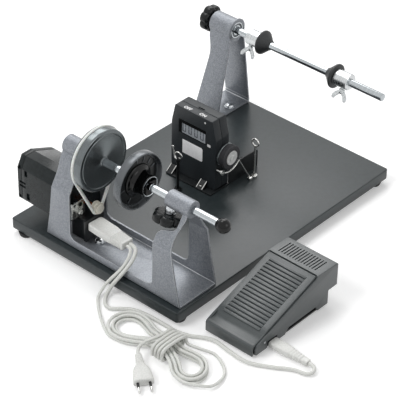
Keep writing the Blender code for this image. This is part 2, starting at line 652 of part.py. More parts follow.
def build_pedal():
    low, high = PEDAL_X
    wall = 2.7
    side = [(-222, -23), (-224, -12), on_treadle(0.03, 4), on_treadle(0.98, 4), (-88, 43), (-42, 41),
            (-40, 39), (-40, 1), (-60, 1), (-60, -23), (-84, -23), (-88, -14), (-150, -14), (-158, -23)]
    housing = prism(side, "x", low, high)
    room = [(-230, -30), (-230, 60), (-86.9, 60), (-86.9, 40), (-43, 38.2), (-42.7, 3.7), (-62.7, 3.7),
            (-62.7, -30)]
    cut(housing, prism(room, "x", low + wall, high - wall))
    for k in range(14):
        x = 215 + 5.2 * k
        cut(housing, box((x, -80, 36), (x + 2, -51, 46)))
    cut(housing, rod("x", PEDAL_PIN, PIN_HOLE_R, low - 1, high + 1, 12))
    cut(housing, box((high - 4, -198, -24), (high + 1, -176, -11.5)))
    place(housing, "pedal_housing", ("#5a6162", 0.35))
    build_pedal_base(low + wall + GAP, high - wall - GAP)
    build_treadle(low + wall + GAP, high - wall - GAP)
    pin = rod("x", PEDAL_PIN, 2, low, high, 16)
    place(pin, "pedal_hinge_pin", STEEL, (low, *PEDAL_PIN))
    block = join(box((225, -100, -21.2), (275, -70, -2)), box((246, -94, -3), (254, -80, 2)))
    place(block, "pedal_rheostat", ("#7a4a2a", 0.5))


def build_pedal_base(low, high):
    base = box((low, -221, -24.5), (high, -63, -21.5))
    for x in (low + 10, high - 10):
        for y in (-210, -76):
            join(base, rod("z", (x, y), 6, FLOOR_Z, -23, 12))
    for x in (low + 4, high - 7):
        lug = [(-210, -23), (-196, -23)] + arc(*PEDAL_PIN, 6, -20, 200, 6)
        join(base, prism(lug, "x", x, x + 3))
    join(base, rod("z", (250, -120), 3.5, -23, -16, 16))
    cut(base, rod("x", PEDAL_PIN, PIN_HOLE_R, low - 1, high + 1, 12))
    place(base, "pedal_base", BLACK_PLASTIC)
    coil = []
    for k in range(8 * SPRING_CURLS + 1):
        t = 2 * math.pi * k / 8
        rise = SPRING_RISE * k / (8 * SPRING_CURLS)
        coil.append((250 + 8 * math.cos(t), -120 + 8 * math.sin(t), -19.9 + rise))
    place(wire(coil, 1.1, 6), "pedal_spring", STEEL, (250, -120, -21.2))


def build_treadle(low, high):
    plate = [(-228, -23), (-228, -8), (-227, -5), TREADLE_FRONT, on_treadle(0.995), (-88.8, 39.5),
             (-80, 38.2), (-80, 35.4), (-90, 36.2), on_treadle(0.97, 3), on_treadle(0.02, 3),
             (-225.2, -9), (-225.2, -23)]
    treadle = prism(plate, "x", low, high)
    flange = [on_treadle(0.03, 2), on_treadle(0.96, 2), on_treadle(0.96, 9), on_treadle(0.25, 9),
              (-196, -13), (-206, -15.5), (-214, -13), on_treadle(0.03, 9)]
    for x in (low, high - 2):
        join(treadle, prism(flange, "x", x, x + 2))
    for k in range(TREADLE_RIBS):
        low_edge = RIB_FIRST + RIB_STEP * k
        high_edge = low_edge + RIB_WIDE
        rib = [on_treadle(low_edge, 1), on_treadle(low_edge, -0.9), on_treadle(high_edge, -0.9),
               on_treadle(high_edge, 1)]
        join(treadle, prism(rib, "x", 216, 284))
    cut(treadle, rod("x", PEDAL_PIN, PIN_HOLE_R, low - 1, high + 1, 12))
    hinge = axis_empty("pedal_axis", (250, *PEDAL_PIN), BENCH)
    place(treadle, "treadle", ("#3f4345", 0.35), (250, *PEDAL_PIN), hinge)


def build_connectors():
    """The moulded connectors of both cords, as lofts of flattened outlines with grip ribs."""
    stations = [(-35.2, 13, 6.6), (-33, 14, 7), (5, 14, 7), (12, 13, 7)]
    for k in range(5):
        x = 14 + 4.4 * k
        stations += [(x, 12.4 - 0.24 * k, 6.8), (x + 0.4, 11.4 - 0.24 * k, 6.0),
                     (x + 2, 11.4 - 0.24 * k, 6.0), (x + 2.4, 12.4 - 0.24 * k, 6.8)]
    stations += [(37, 11, 6.4), (38, 10.4, 5.8)]
    rings = [flat_ring(x, -207 - 5 * (x + 35) / 73, 35, half, tall) for x, half, tall in stations]
    place(loft(rings), "machine_connector", WHITE_PLASTIC)
    stations = [(PEDAL_X[1] + GAP, 9.5, 5.6), (318, 9.5, 5.6), (332, 8.4, 5.2)]
    for k in range(5):
        x = 333 + 4.7 * k
        stations += [(x, 7.9 - 0.42 * k, 5.0), (x + 0.5, 7 - 0.42 * k, 4.3),
                     (x + 2.7, 7 - 0.42 * k, 4.3), (x + 3.2, 7.9 - 0.42 * k, 5.0)]
    stations += [(360, 5.6, 4.8), (364, 5, 4.6)]
    rings = [flat_ring(x, -187, -18.2 - 1.2 * (x - 297) / 73, half, tall) for x, half, tall in stations]
    place(loft(rings), "pedal_connector", WHITE_PLASTIC)


def flat_ring(x, y, z, half, tall):
    """A rectangle with chamfered corners, square to X."""
    c = 0.35 * tall
    corners = [(half, -tall + c), (half, tall - c), (half - c, tall), (-half + c, tall),
               (-half, tall - c), (-half, -tall + c), (-half + c, -tall), (half - c, -tall)]
    return [(x, y + a, z + b) for a, b in corners]


DROP_ROUTE = [(38.8, -215.1, 35), (45, -215.6, 35), (50.6, -219.5, 33), (54.2, -229, 26.5),
              (54.8, -240.5, 18.4), (50, -252, 8), (40, -260, -8), (37, -268, -19),
              (41, -279, -23.1), (54, -292, -23.9), (70, -305, -23.9), (88, -317.5, -23.9),
              (104, -326.5, -23.9), (112, -329.3, -23.9), (118.8, -329.7, -23.85)]
RUN_TO_PLUG = [(182.4, -311, -0.8), (176.5, -320, -3.8), (173.2, -329, -7.6), (175.5, -336.5, -11),
               (180, -341, -12.95)]
PEDAL_ROUTE = [(38.8, -208.9, 35), (46.5, -209.3, 35), (55, -213.5, 33), (60.8, -226, 26.5),
               (61.6, -240.5, 18.4), (57.5, -250, 8), (49, -256.5, -8), (45.5, -262, -19),
               (49, -271, -22.6), (60, -283, -23.3), (72, -285, -23.3), (84, -275, -23.3),
               (98, -265, -23.3), (120, -260, -23.3), (148, -259, -23.3), (176, -258.5, -23.3),
               (197, -253, -23.3), (214, -243, -23.3), (233, -236.5, -23.3), (262, -240, -23.3),
               (296, -240.6, -23.3), (330, -224, -23.3), (345, -214, -23.3), (357, -207.7, -23.3),
               (368.5, -205.2, -23.2), (375.6, -202, -22.7), (378.6, -196, -21.7),
               (376.4, -190, -20.5), (370.6, -187, -19.6), (364.3, -187, -19.4)]


def between(value, low=0.0, high=1.0):
    return min(high, max(low, value))


def hank_half(x):
    """Half the width of the hank's outer loop at x from the waist, short of its round ends."""
    reach, half = (HANK_REACH[0], HANK_HALF[0]) if x < 0 else (HANK_REACH[1], HANK_HALF[1])
    share = between((abs(x) - WAIST_LONG) / (reach - half - WAIST_LONG))
    return HANK_WAIST + (half - HANK_WAIST) * (0.5 - 0.5 * math.cos(math.pi * share))


def hank_outline():
    """The outer loop from its left tip by the front: round ends, drawn in at the waist."""
    left = (-HANK_REACH[0] + HANK_HALF[0], HANK_HALF[0])
    right = (HANK_REACH[1] - HANK_HALF[1], HANK_HALF[1])
    points = arc(left[0], 0, left[1], 180, 270, 8)[:-1]
    points += [(x, -hank_half(x)) for x in np.linspace(left[0], right[0], 17)[:-1]]
    points += arc(right[0], 0, right[1], -90, 90, 16)[:-1]
    points += [(x, hank_half(x)) for x in np.linspace(right[0], left[0], 17)[:-1]]
    return np.array(points + arc(left[0], 0, left[1], 90, 180, 8))


def hank_loops():
    """Loops that spiral in, climb, spiral out above themselves and swing out in one side loop."""
    line = hank_outline()
    reach = np.concatenate([[0], np.cumsum(np.linalg.norm(np.diff(line, axis=0), axis=1))])

    def on_line(distance):
        return np.array([np.interp(distance % reach[-1], reach, line[:, i]) for i in (0, 1)])

    points = []
    count = round(LOOP_POINTS * HANK_LOOPS)
    for i in range(count + 1):
        turn = HANK_LOOPS * i / count
        distance = (HANK_START + turn) * reach[-1]
        spot = on_line(distance)
        ahead = on_line(distance + 4) - on_line(distance - 4)
        inward = np.array([-ahead[1], ahead[0]]) / np.linalg.norm(ahead)
        left_over = HANK_LOOPS - turn
        late = max(0.0, 1 - left_over / 0.3)
        inset = min(turn, HANK_TURNS_IN, 2 * HANK_TURNS_IN + 0.5 - turn) - 0.5 * late * late
        level = between(2 * (turn - HANK_TURNS_IN))
        swing = math.sin(math.pi * between((0.24 - left_over) / 0.22)) ** 2
        x, y = spot + inward * (inset * HANK_STEP - SIDE_LOOP * swing)
        droop = 0.2 * max(0.0, x) ** 2 / (max(0.0, x) + 20)
        rise = HANK_CLIMB * (level - swing ** 2) + HANK_LIFT * math.exp(-(spot[0] / 34) ** 2)
        points.append((HANK_CENTRE[0] + x, HANK_CENTRE[1] + y - droop, HANK_LOW + rise))
    return points


def hank_wrap():
    """The turns round the hank's waist, a rounded rectangle that travels to the left."""
    points = []
    count = round(WRAP_POINTS * WRAP_TURNS)
    for i in range(count + 1):
        turn = WRAP_START + WRAP_TURNS * i / count
        c, s = math.cos(2 * math.pi * turn), math.sin(2 * math.pi * turn)
        points.append((HANK_CENTRE[0] + WRAP_FROM - WRAP_PITCH * turn,
                       HANK_CENTRE[1] + WRAP_HALF * math.copysign(abs(c) ** 0.6, c),
                       HANK_LOW + WRAP_RISE + WRAP_TALL * math.copysign(abs(s) ** 0.6, s)))
    return points


def build_plug():
    """A flat two pin plug: ribbed relief, body and half sleeved pins, turned to its place."""
    stations = [(0, 3.6, 3.4), (1, 4.0, 3.8)]
    for k in range(5):
        x = 2 + 3.6 * k
        stations += [(x, 4.6 + 0.3 * k, 4.0), (x + 0.5, 3.9 + 0.3 * k, 3.3),
                     (x + 1.8, 3.9 + 0.3 * k, 3.3), (x + 2.3, 4.6 + 0.3 * k, 4.0)]
    stations += [(21, 7.2, 5.0), (28, 11, 6.6), (36, 13.2, 7), (50, 15, 7), (54, 15, 7)]
    plug = loft([flat_ring(x, 0, 0, half, tall) for x, half, tall in stations])
    for side in (-1, 1):
        pin = [(53, 0), (53, 2), (63, 2), (63.2, 1.9), (72, 1.9), (73, 1), (73, 0)]
        join(plug, lathe(pin, "x", (side * 8.75, 0), 12))
    tilt = Matrix.Rotation(math.radians(PLUG_TILT), 4, "Y")
    turn = Matrix.Rotation(math.radians(PLUG_ANGLE), 4, "Z") @ tilt
    plug.data.transform(Matrix.Translation(Vector(PLUG_START)) @ turn)
    place(plug, "mains_plug", WHITE_PLASTIC, PLUG_START)


def least_gap(points, radius):
    """The least distance between the cord's surfaces at points that aren't neighbours."""
    rows = np.array(points)
    reach = np.concatenate([[0], np.cumsum(np.linalg.norm(np.diff(rows, axis=0), axis=1))])
    apart = np.linalg.norm(rows[:, None] - rows[None], axis=2)
    apart[np.abs(reach[:, None] - reach[None]) < 8 * radius] = np.inf
    return apart.min() - 2 * radius


clear_scene()
BENCH = axis_empty("bench", (0.0, 0.0, 0.0))
build_board()
build_spindle_bracket()
build_drive()
build_motor()
build_tailstock()
build_supply_stand()
build_supply_rod()
build_counter()
build_measuring_wheel()
build_guides()
build_pedal()
build_connectors()
build_plug()
cord(smooth_route(DROP_ROUTE, 8), MAINS_R, "mains_cord_drop", WHITE_CORD)
cord(smooth_route(PEDAL_ROUTE, 8), PEDAL_CORD_R, "pedal_cord", WHITE_CORD)
hank = hank_loops() + hank_wrap() + RUN_TO_PLUG
print(f"least gap of the hank's cord to itself: {least_gap(hank, MAINS_R):.2f} mm")
cord(hank, MAINS_R, "mains_cord_hank", WHITE_CORD, resolution=1)
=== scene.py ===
"""Line spooling machine with a foot pedal, finished and lit for its photograph.

Places are millimetres of the bench: origin at the middle of the board's top, X towards the
tailstock, Y from the spindle to the supply stand, Z up. The function at() turns them into the
frame's metres.
"""
import math

import bpy
import numpy as np
from mathutils import Matrix, Vector


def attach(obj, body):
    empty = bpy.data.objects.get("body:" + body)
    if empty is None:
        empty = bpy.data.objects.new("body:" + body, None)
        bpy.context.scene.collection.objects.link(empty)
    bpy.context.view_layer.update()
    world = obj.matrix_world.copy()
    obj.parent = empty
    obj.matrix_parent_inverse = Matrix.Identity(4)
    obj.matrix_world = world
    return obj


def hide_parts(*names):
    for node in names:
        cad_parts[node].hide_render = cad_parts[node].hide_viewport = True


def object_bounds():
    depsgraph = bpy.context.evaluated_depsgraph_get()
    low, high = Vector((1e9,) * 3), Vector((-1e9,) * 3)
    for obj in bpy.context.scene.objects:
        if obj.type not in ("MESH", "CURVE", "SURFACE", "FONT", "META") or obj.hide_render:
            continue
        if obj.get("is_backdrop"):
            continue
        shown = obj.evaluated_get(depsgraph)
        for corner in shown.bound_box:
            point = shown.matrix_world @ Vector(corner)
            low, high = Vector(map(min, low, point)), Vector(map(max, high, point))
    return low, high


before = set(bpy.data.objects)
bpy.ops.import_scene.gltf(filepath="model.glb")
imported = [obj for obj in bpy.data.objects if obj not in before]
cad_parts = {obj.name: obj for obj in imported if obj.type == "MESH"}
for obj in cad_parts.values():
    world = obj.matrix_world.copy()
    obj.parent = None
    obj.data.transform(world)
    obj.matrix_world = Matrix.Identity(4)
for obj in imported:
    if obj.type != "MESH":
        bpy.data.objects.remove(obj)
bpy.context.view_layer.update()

# The view: the machine is seen from high at its front right corner, through a long lens that
# keeps the board's sides nearly parallel.
MM = 0.001
BENCH = Vector((-58.0, 0.0, 26.5))
FLOOR = -26.5


def at(x, y, z):
    """A point of the bench in the frame, in metres."""
    return (Vector((x, y, z)) + BENCH) * MM


bpy.ops.object.camera_add(location=at(1566, -1807, 1706))
camera = bpy.context.object
camera.data.lens = 169.2
camera.data.clip_end = 20
heading, tilt, roll = (math.radians(angle) for angle in (41.05, 54.27, 1.17))
camera.rotation_euler = (Matrix.Rotation(heading, 3, "Z") @ Matrix.Rotation(tilt, 3, "X")
                         @ Matrix.Rotation(roll, 3, "Z")).to_euler()
bpy.context.scene.camera = camera
bpy.context.scene.view_settings.view_transform = "Standard"

# The table and the light: a white sweep under soft boxes. Camera and mirror rays see it plain
# white, apart from the soft shadow under the machine.


def ink(code):
    """Linear colour of an sRGB hex code."""
    parts = [int(code[i:i + 2], 16) / 255 for i in (1, 3, 5)]
    return (*(c / 12.92 if c <= 0.04045 else ((c + 0.055) / 1.055) ** 2.4 for c in parts), 1)


def add(look, kind, settings=()):
    """Add a shader node. A setting is a socket, by name or number, or else a property, and a
    socket takes a value or another node's output."""
    tree = look.node_tree
    made = tree.nodes.new("ShaderNode" + kind)
    for key, value in dict(settings).items():
        if isinstance(value, bpy.types.NodeSocket):
            tree.links.new(value, made.inputs[key])
        elif isinstance(key, int) or key in made.inputs:
            made.inputs[key].default_value = value
        else:
            setattr(made, key, value)
    return made


def seen_direct(look):
    """1 for camera, mirror and glass rays, and 0 for the rays that light things."""
    path = add(look, "LightPath")
    glossy = add(look, "Math", {"operation": "MAXIMUM", 0: path.outputs["Is Camera Ray"],
                                1: path.outputs["Is Glossy Ray"]})
    return add(look, "Math", {"operation": "MAXIMUM", 0: glossy.outputs[0],
                              1: path.outputs["Is Transmission Ray"]}).outputs[0]


SKY_LIGHT, TABLE_GLOW = 0.3, 0.3
sky = bpy.data.worlds.new("white_studio")
sky.use_nodes = True
bpy.context.scene.world = sky
backdrop = sky.node_tree.nodes["Background"]
backdrop.inputs["Color"].default_value = (1, 1, 1, 1)
strength = add(sky, "MapRange", {"Value": seen_direct(sky), "To Min": SKY_LIGHT, "To Max": 1.0})
sky.node_tree.links.new(strength.outputs["Result"], backdrop.inputs["Strength"])

bpy.ops.object.select_all(action="DESELECT")
bpy.ops.mesh.primitive_plane_add(size=12, location=(0, 0, -0.0002))
table = bpy.context.object
table.name = "table"
white_table = bpy.data.materials.new("white_paper")
white_table.use_nodes = True
paper = white_table.node_tree.nodes["Principled BSDF"]
paper.inputs["Base Color"].default_value = ink("#f4f4f4")
paper.inputs["Roughness"].default_value = 0.9
paper.inputs["Specular IOR Level"].default_value = 0.0
paper.inputs["Emission Color"].default_value = (1, 1, 1, 1)
glow = add(white_table, "MapRange", {"Value": seen_direct(white_table), "To Min": 0.0, "To Max": TABLE_GLOW})
white_table.node_tree.links.new(glow.outputs["Result"], paper.inputs["Emission Strength"])
table.data.materials.append(white_table)
table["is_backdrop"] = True

# The key lamp lights the machine but isn't mirrored, so no bright patch of it lies on the board. The
# other three are seen in the metal.
for name, spot, size, power, mirrored in (("key_box", (-600, -1750, 2000), 1.0, 29, False),
                                          ("back_box", (-1000, 1350, 1680), 1.2, 17, True),
                                          ("side_box", (2200, 200, 1500), 1.2, 8, True),
                                          ("top_box", (-790, 80, 1850), 0.8, 8.5, True)):
    bpy.ops.object.light_add(type="AREA", location=at(*spot))
    lamp = bpy.context.object
    lamp.name = name
    lamp.data.size = size
    lamp.data.energy = power
    lamp.visible_glossy = mirrored
    lamp.rotation_euler = (at(0, 0, 60) - at(*spot)).to_track_quat("-Z", "Y").to_euler()

# The mains lead: a thin white flexible cord. It leaves the machine's connector, drops over the
# board's edge, lies on the table and is wound into a hank with its flat two pin plug.
MAINS_R = 2.5
HANK_CENTRE = (196.0, -299.0)
HANK_REACH = (104.0, 81.0)
HANK_HALF = (31.0, 29.0)
HANK_WAIST = 15.2
WAIST_LONG = 15.0
HANK_STEP = 6.8
HANK_CLIMB = 6.0
HANK_LIFT = 9.2
HANK_START = 0.1
HANK_LOOPS = 4.572
HANK_TURNS_IN = 1.75
HANK_LOW = FLOOR + MAINS_R + 0.1
HANK_LAST = 0.3
HANK_DROOP, DROOP_FROM = 0.2, 20
LIFT_LONG = 34
LOOP_POINTS = 24
SIDE_LOOP = 20.0
SIDE_LOOP_FROM, SIDE_LOOP_TURN = 0.24, 0.22
WRAP_START = 0.09
WRAP_TURNS = 4.16
WRAP_POINTS = 20
WRAP_FROM = 16.0
WRAP_RISE = HANK_LIFT + HANK_CLIMB / 2
WRAP_PITCH = 6.1
WRAP_HALF = 24.2
WRAP_TALL = 12.0
DROP_ROUTE = [(38.8, -215.1, 35), (45, -215.6, 35), (50.6, -219.5, 33), (54.2, -229, 26.5),
              (54.8, -240.5, 18.4), (50, -252, 8), (40, -260, -8), (37, -268, -19),
              (41, -279, -23.1), (54, -292, -23.9), (70, -305, -23.9), (88, -317.5, -23.9),
              (104, -326.5, -23.9), (112, -329.3, -23.9), (118.8, -329.7, -23.85)]
RUN_TO_PLUG = [(182.4, -311, -0.8), (176.5, -320, -3.8), (173.2, -329, -7.6), (175.5, -336.5, -11),
               (180, -341, -12.95)]


def arc(a, b, radius, start, end, steps=6):
    """Points of an arc, angles in degrees."""
    turns = [math.radians(start + (end - start) * i / steps) for i in range(steps + 1)]
    return [(a + radius * math.cos(t), b + radius * math.sin(t)) for t in turns]


def smooth_run(points, spacing):
    """Even points along a smooth curve through the points of a route."""
    knots = [Vector(p) for p in points]
    knots = [2 * knots[0] - knots[1], *knots, 2 * knots[-1] - knots[-2]]
    fine = []
    for p0, p1, p2, p3 in zip(knots, knots[1:], knots[2:], knots[3:]):
        for i in range(12):
            t = i / 12
            fine.append(0.5 * (2 * p1 + (p2 - p0) * t + (2 * p0 - 5 * p1 + 4 * p2 - p3) * t * t
                               + (3 * p1 - p0 - 3 * p2 + p3) * t ** 3))
    fine.append(knots[-2])
    reach = np.concatenate([[0], np.cumsum([(b - a).length for a, b in zip(fine, fine[1:])])])
    stops = np.linspace(0, reach[-1], round(reach[-1] / spacing) + 1)
    rows = np.array([tuple(p) for p in fine])
    return [Vector(p) for p in np.column_stack([np.interp(stops, reach, rows[:, i]) for i in range(3)])]


def between(value, low=0.0, high=1.0):
    return min(high, max(low, value))


def hank_half(x):
    """Half the width of the hank's outer loop at x from the waist, short of its round ends."""
    reach, half = (HANK_REACH[0], HANK_HALF[0]) if x < 0 else (HANK_REACH[1], HANK_HALF[1])
    share = between((abs(x) - WAIST_LONG) / (reach - half - WAIST_LONG))
    return HANK_WAIST + (half - HANK_WAIST) * (0.5 - 0.5 * math.cos(math.pi * share))


def hank_outline():
    """The outer loop from its left tip by the front: round ends, drawn in at the waist."""
    left = (-HANK_REACH[0] + HANK_HALF[0], HANK_HALF[0])
    right = (HANK_REACH[1] - HANK_HALF[1], HANK_HALF[1])
    points = arc(left[0], 0, left[1], 180, 270, 8)[:-1]
    points += [(x, -hank_half(x)) for x in np.linspace(left[0], right[0], 17)[:-1]]
    points += arc(right[0], 0, right[1], -90, 90, 16)[:-1]
    points += [(x, hank_half(x)) for x in np.linspace(right[0], left[0], 17)[:-1]]
    return np.array(points + arc(left[0], 0, left[1], 90, 180, 8))


def hank_loops():
    """Loops that spiral in, climb, spiral out above themselves and swing out in one side loop."""
    line = hank_outline()
    reach = np.concatenate([[0], np.cumsum(np.linalg.norm(np.diff(line, axis=0), axis=1))])

    def on_line(distance):
        return np.array([np.interp(distance % reach[-1], reach, line[:, i]) for i in (0, 1)])

    points = []
    count = round(LOOP_POINTS * HANK_LOOPS)
    for i in range(count + 1):
        turn = HANK_LOOPS * i / count
        distance = (HANK_START + turn) * reach[-1]
        spot = on_line(distance)
        ahead = on_line(distance + 4) - on_line(distance - 4)
        inward = np.array([-ahead[1], ahead[0]]) / np.linalg.norm(ahead)
        left_over = HANK_LOOPS - turn
        late = max(0.0, 1 - left_over / HANK_LAST)
        inset = min(turn, HANK_TURNS_IN, 2 * HANK_TURNS_IN + 0.5 - turn) - 0.5 * late * late
        level = between(2 * (turn - HANK_TURNS_IN))
        swing = math.sin(math.pi * between((SIDE_LOOP_FROM - left_over) / SIDE_LOOP_TURN)) ** 2
        x, y = spot + inward * (inset * HANK_STEP - SIDE_LOOP * swing)
        droop = HANK_DROOP * max(0.0, x) ** 2 / (max(0.0, x) + DROOP_FROM)
        rise = HANK_CLIMB * (level - swing ** 2) + HANK_LIFT * math.exp(-(spot[0] / LIFT_LONG) ** 2)
        points.append((HANK_CENTRE[0] + x, HANK_CENTRE[1] + y - droop, HANK_LOW + rise))
    return points


def hank_wrap():
    """The turns round the hank's waist, a rounded rectangle that travels to the left."""
    points = []
    count = round(WRAP_POINTS * WRAP_TURNS)
    for i in range(count + 1):
        turn = WRAP_START + WRAP_TURNS * i / count
        c, s = math.cos(2 * math.pi * turn), math.sin(2 * math.pi * turn)
        points.append((HANK_CENTRE[0] + WRAP_FROM - WRAP_PITCH * turn,
                       HANK_CENTRE[1] + WRAP_HALF * math.copysign(abs(c) ** 0.6, c),
                       HANK_LOW + WRAP_RISE + WRAP_TALL * math.copysign(abs(s) ** 0.6, s)))
    return points


def lay_cord(name, points, radius, closed=False, rounds=6):
    """A round cord or wire as one curve. An open one has closed ends."""
    curve = bpy.data.curves.new(name, "CURVE")
    curve.dimensions = "3D"
    curve.bevel_depth = radius * MM
    curve.bevel_resolution = rounds
    curve.use_fill_caps = True
    spline = curve.splines.new("POLY")
    spline.points.add(len(points) - 1)
    for spot, point in zip(spline.points, points):
        spot.co = (*at(*point), 1)
    spline.use_smooth = True
    spline.use_cyclic_u = closed
    cord = bpy.data.objects.new(name, curve)
    bpy.context.scene.collection.objects.link(cord)
    return cord


def ramp(look, factor, stops):
    """A colour ramp between two stops, each a position and an sRGB hex code."""
    made = add(look, "ValToRGB", {"Fac": factor})
    for element, (position, code) in zip(made.color_ramp.elements, stops):
        element.position = position
        element.color = ink(code)
    return made.outputs["Color"]


def surface(name, dark, light, grain, rough, metallic=0.0, relief=0.0, stretch=(1, 1, 1), **sockets):
    """A finish with fine variation: two sRGB colours and two roughnesses mixed by grains of a size
    in millimetres, with relief in millimetres. Other sockets of the shader are set by name."""
    look = bpy.data.materials.new(name)
    look.use_nodes = True
    shader = look.node_tree.nodes["Principled BSDF"]
    shader.inputs["Metallic"].default_value = metallic
    for socket, value in sockets.items():
        shader.inputs[socket.replace("_", " ")].default_value = value
    coords = add(look, "TexCoord")
    spread = add(look, "Mapping", {"Vector": coords.outputs["Object"], "Scale": stretch})
    grains = add(look, "TexNoise", {"Vector": spread.outputs["Vector"], "Scale": 1000 / grain,
                                    "Detail": 4.0})
    colour = ramp(look, grains.outputs["Fac"], ((0.35, dark), (0.65, light)))
    gloss = add(look, "MapRange", {"Value": grains.outputs["Fac"], "From Min": 0.3, "From Max": 0.7,
                                   "To Min": rough[0], "To Max": rough[1]})
    link = look.node_tree.links.new
    link(colour, shader.inputs["Base Color"])
    link(gloss.outputs["Result"], shader.inputs["Roughness"])
    if relief:
        bumps = add(look, "Bump", {"Height": grains.outputs["Fac"], "Distance": relief * MM})
        link(bumps.outputs["Normal"], shader.inputs["Normal"])
    return look


def fit(piece, look, body, slot, *nodes):
    """Give a piece its finish and its body, and hide the nodes it stands for. The slot is not used."""
    piece.data.materials.clear()
    piece.data.materials.append(look)
    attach(piece, body)
    if nodes:
        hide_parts(*nodes)
    return piece


def pick(*pieces):
    """Select these pieces alone, the first of them active."""
    bpy.ops.object.select_all(action="DESELECT")
    for piece in pieces:
        piece.select_set(True)
    bpy.context.view_layer.objects.active = pieces[0]


def settle(piece):
    """Put a piece's place and turn into its mesh, its object at the origin."""
    pick(piece)
    bpy.ops.object.transform_apply(location=True, rotation=True, scale=True)
    return piece


def smooth(piece, angle=35.0):
    """Shade a piece smooth but for edges sharper than an angle."""
    pick(piece)
    bpy.ops.object.shade_smooth_by_angle(angle=math.radians(angle))
    return piece


def bevel(piece, width, segments=3, angle=32.0):
    """Round a piece's edges by a width in millimetres."""
    edge = piece.modifiers.new("edge", "BEVEL")
    edge.width = width * MM
    edge.segments = segments
    edge.limit_method = "ANGLE"
    edge.angle_limit = math.radians(angle)
    bpy.context.view_layer.objects.active = piece
    bpy.ops.object.modifier_apply(modifier=edge.name)
    return smooth(piece)


def shaped(piece):
    """Turn the faces of a piece in edit mode outward and leave that mode."""
    bpy.ops.mesh.select_all(action="SELECT")
    bpy.ops.mesh.normals_make_consistent(inside=False)
    bpy.ops.object.mode_set(mode="OBJECT")
    return piece


def drawn_out(name, stations, squareness=5.0, sides=40):
    """A flattened bar pulled out ring by ring along X from the origin. Stations are (position,
    half width, half height)."""
    bpy.ops.object.select_all(action="DESELECT")
    bpy.ops.mesh.primitive_circle_add(vertices=sides, radius=1, fill_type="NGON")
    piece = bpy.context.object
    piece.name = name
    first, half, tall = stations[0]
    for i, vertex in enumerate(piece.data.vertices):
        turn = 2 * math.pi * (i + 0.5) / sides
        c, s = math.cos(turn), math.sin(turn)
        vertex.co = Vector((first, half * math.copysign(abs(c) ** (2 / squareness), c),
                            tall * math.copysign(abs(s) ** (2 / squareness), s))) * MM
    bpy.ops.object.mode_set(mode="EDIT")
    bpy.ops.mesh.select_all(action="SELECT")
    for (x0, half0, tall0), (x1, half1, tall1) in zip(stations, stations[1:]):
        bpy.ops.mesh.extrude_region_move(TRANSFORM_OT_translate={"value": ((x1 - x0) * MM, 0, 0)})
        bpy.ops.transform.resize(value=(1, half1 / half0, tall1 / tall0), center_override=(x1 * MM, 0, 0))
    return shaped(piece)


def move(piece, matrix):
    """Place a piece by a matrix in bench millimetres, into its mesh."""
    here = Matrix.Scale(MM, 4) @ Matrix.Translation(BENCH) @ matrix @ Matrix.Scale(1 / MM, 4)
    piece.data.transform(here)
    piece.data.update()
    return piece


def place(piece, matrix):
    """Place a piece that is drawn about the bench's origin by a matrix in bench millimetres."""
    piece.data.transform(Matrix.Translation(-BENCH * MM))
    return move(piece, matrix)


# Soft PVC gives a dull sheen and a faint pebble. The pebble is drawn 1.5 mm wide to show.
cord_pvc = surface("soft_white_pvc", "#dcddd8", "#e9eae6", 1.5, (0.42, 0.5), relief=0.02)
moulded_pvc = surface("moulded_white_pvc", "#e2e3df", "#efefec", 2.0, (0.36, 0.46), relief=0.02)

lead_points = smooth_run(DROP_ROUTE[:-1] + hank_loops() + hank_wrap() + RUN_TO_PLUG, 2.5)
mains_lead = lay_cord("mains_lead", lead_points, MAINS_R)
fit(mains_lead, cord_pvc, "machine", "white_cord", "mains_cord_drop", "mains_cord_hank")


def rib_stations(start, step, count, width, height, fall=0.0, deep=0.9, gap=0.45):
    """Stations of grip ribs: each stands proud for part of a step, and its groove is rounded."""
    found = []
    for k in range(count):
        x = start + step * k
        w, t = width - fall * k, height - 0.35 * fall * k
        for share, sink in ((0.0, 0.0), (0.08, 0.35), (0.16, 1.0), (gap - 0.1, 1.0), (gap, 0.35),
                            (gap + 0.06, 0.0)):
            found.append((x + step * share, w - deep * sink, t - 0.7 * deep * sink))
    return found


stations = [(0, 10.5, 5.0), (0.5, 12.6, 6.3), (2.2, 14, 7), (38, 14, 7), (40, 13.6, 6.9), (46, 12.9, 6.9)]
stations += rib_stations(48.5, 3.6, 6, 12.5, 6.8, 0.2)
stations += [(71.4, 11.2, 6.5), (72.6, 10.6, 6.0), (73.2, 9.4, 5.0)]
inlet_connector = bevel(drawn_out("inlet_connector", stations, 7.0, 48), 0.3, 2, 50)
move(inlet_connector, Matrix.Translation((-35.2, -207, 35)) @ Matrix.Rotation(math.atan(-5 / 73), 4, "Z"))
fit(inlet_connector, moulded_pvc, "machine", "white_plastic", "machine_connector")

stations = [(0, 3.2, 3.1), (0.6, 3.8, 3.6)] + rib_stations(2, 3.6, 5, 4.7, 4.1, -0.32, 0.8)
stations += [(20.6, 6.6, 4.8), (24, 8.6, 5.6), (28, 11, 6.5), (34, 12.9, 6.9), (44, 14.3, 7.0),
             (52.4, 15, 7.0), (53.6, 14.6, 6.7), (54, 13.8, 5.9)]
plug_body = drawn_out("plug_body", stations, 3.6, 48)
PLUG = (Matrix.Translation((180.4, -341.3, -13.0)) @ Matrix.Rotation(math.radians(-38.2), 4, "Z")
        @ Matrix.Rotation(math.radians(6.6), 4, "Y"))
move(smooth(plug_body, 50), PLUG)
fit(plug_body, moulded_pvc, "machine", "white_plastic", "mains_plug")


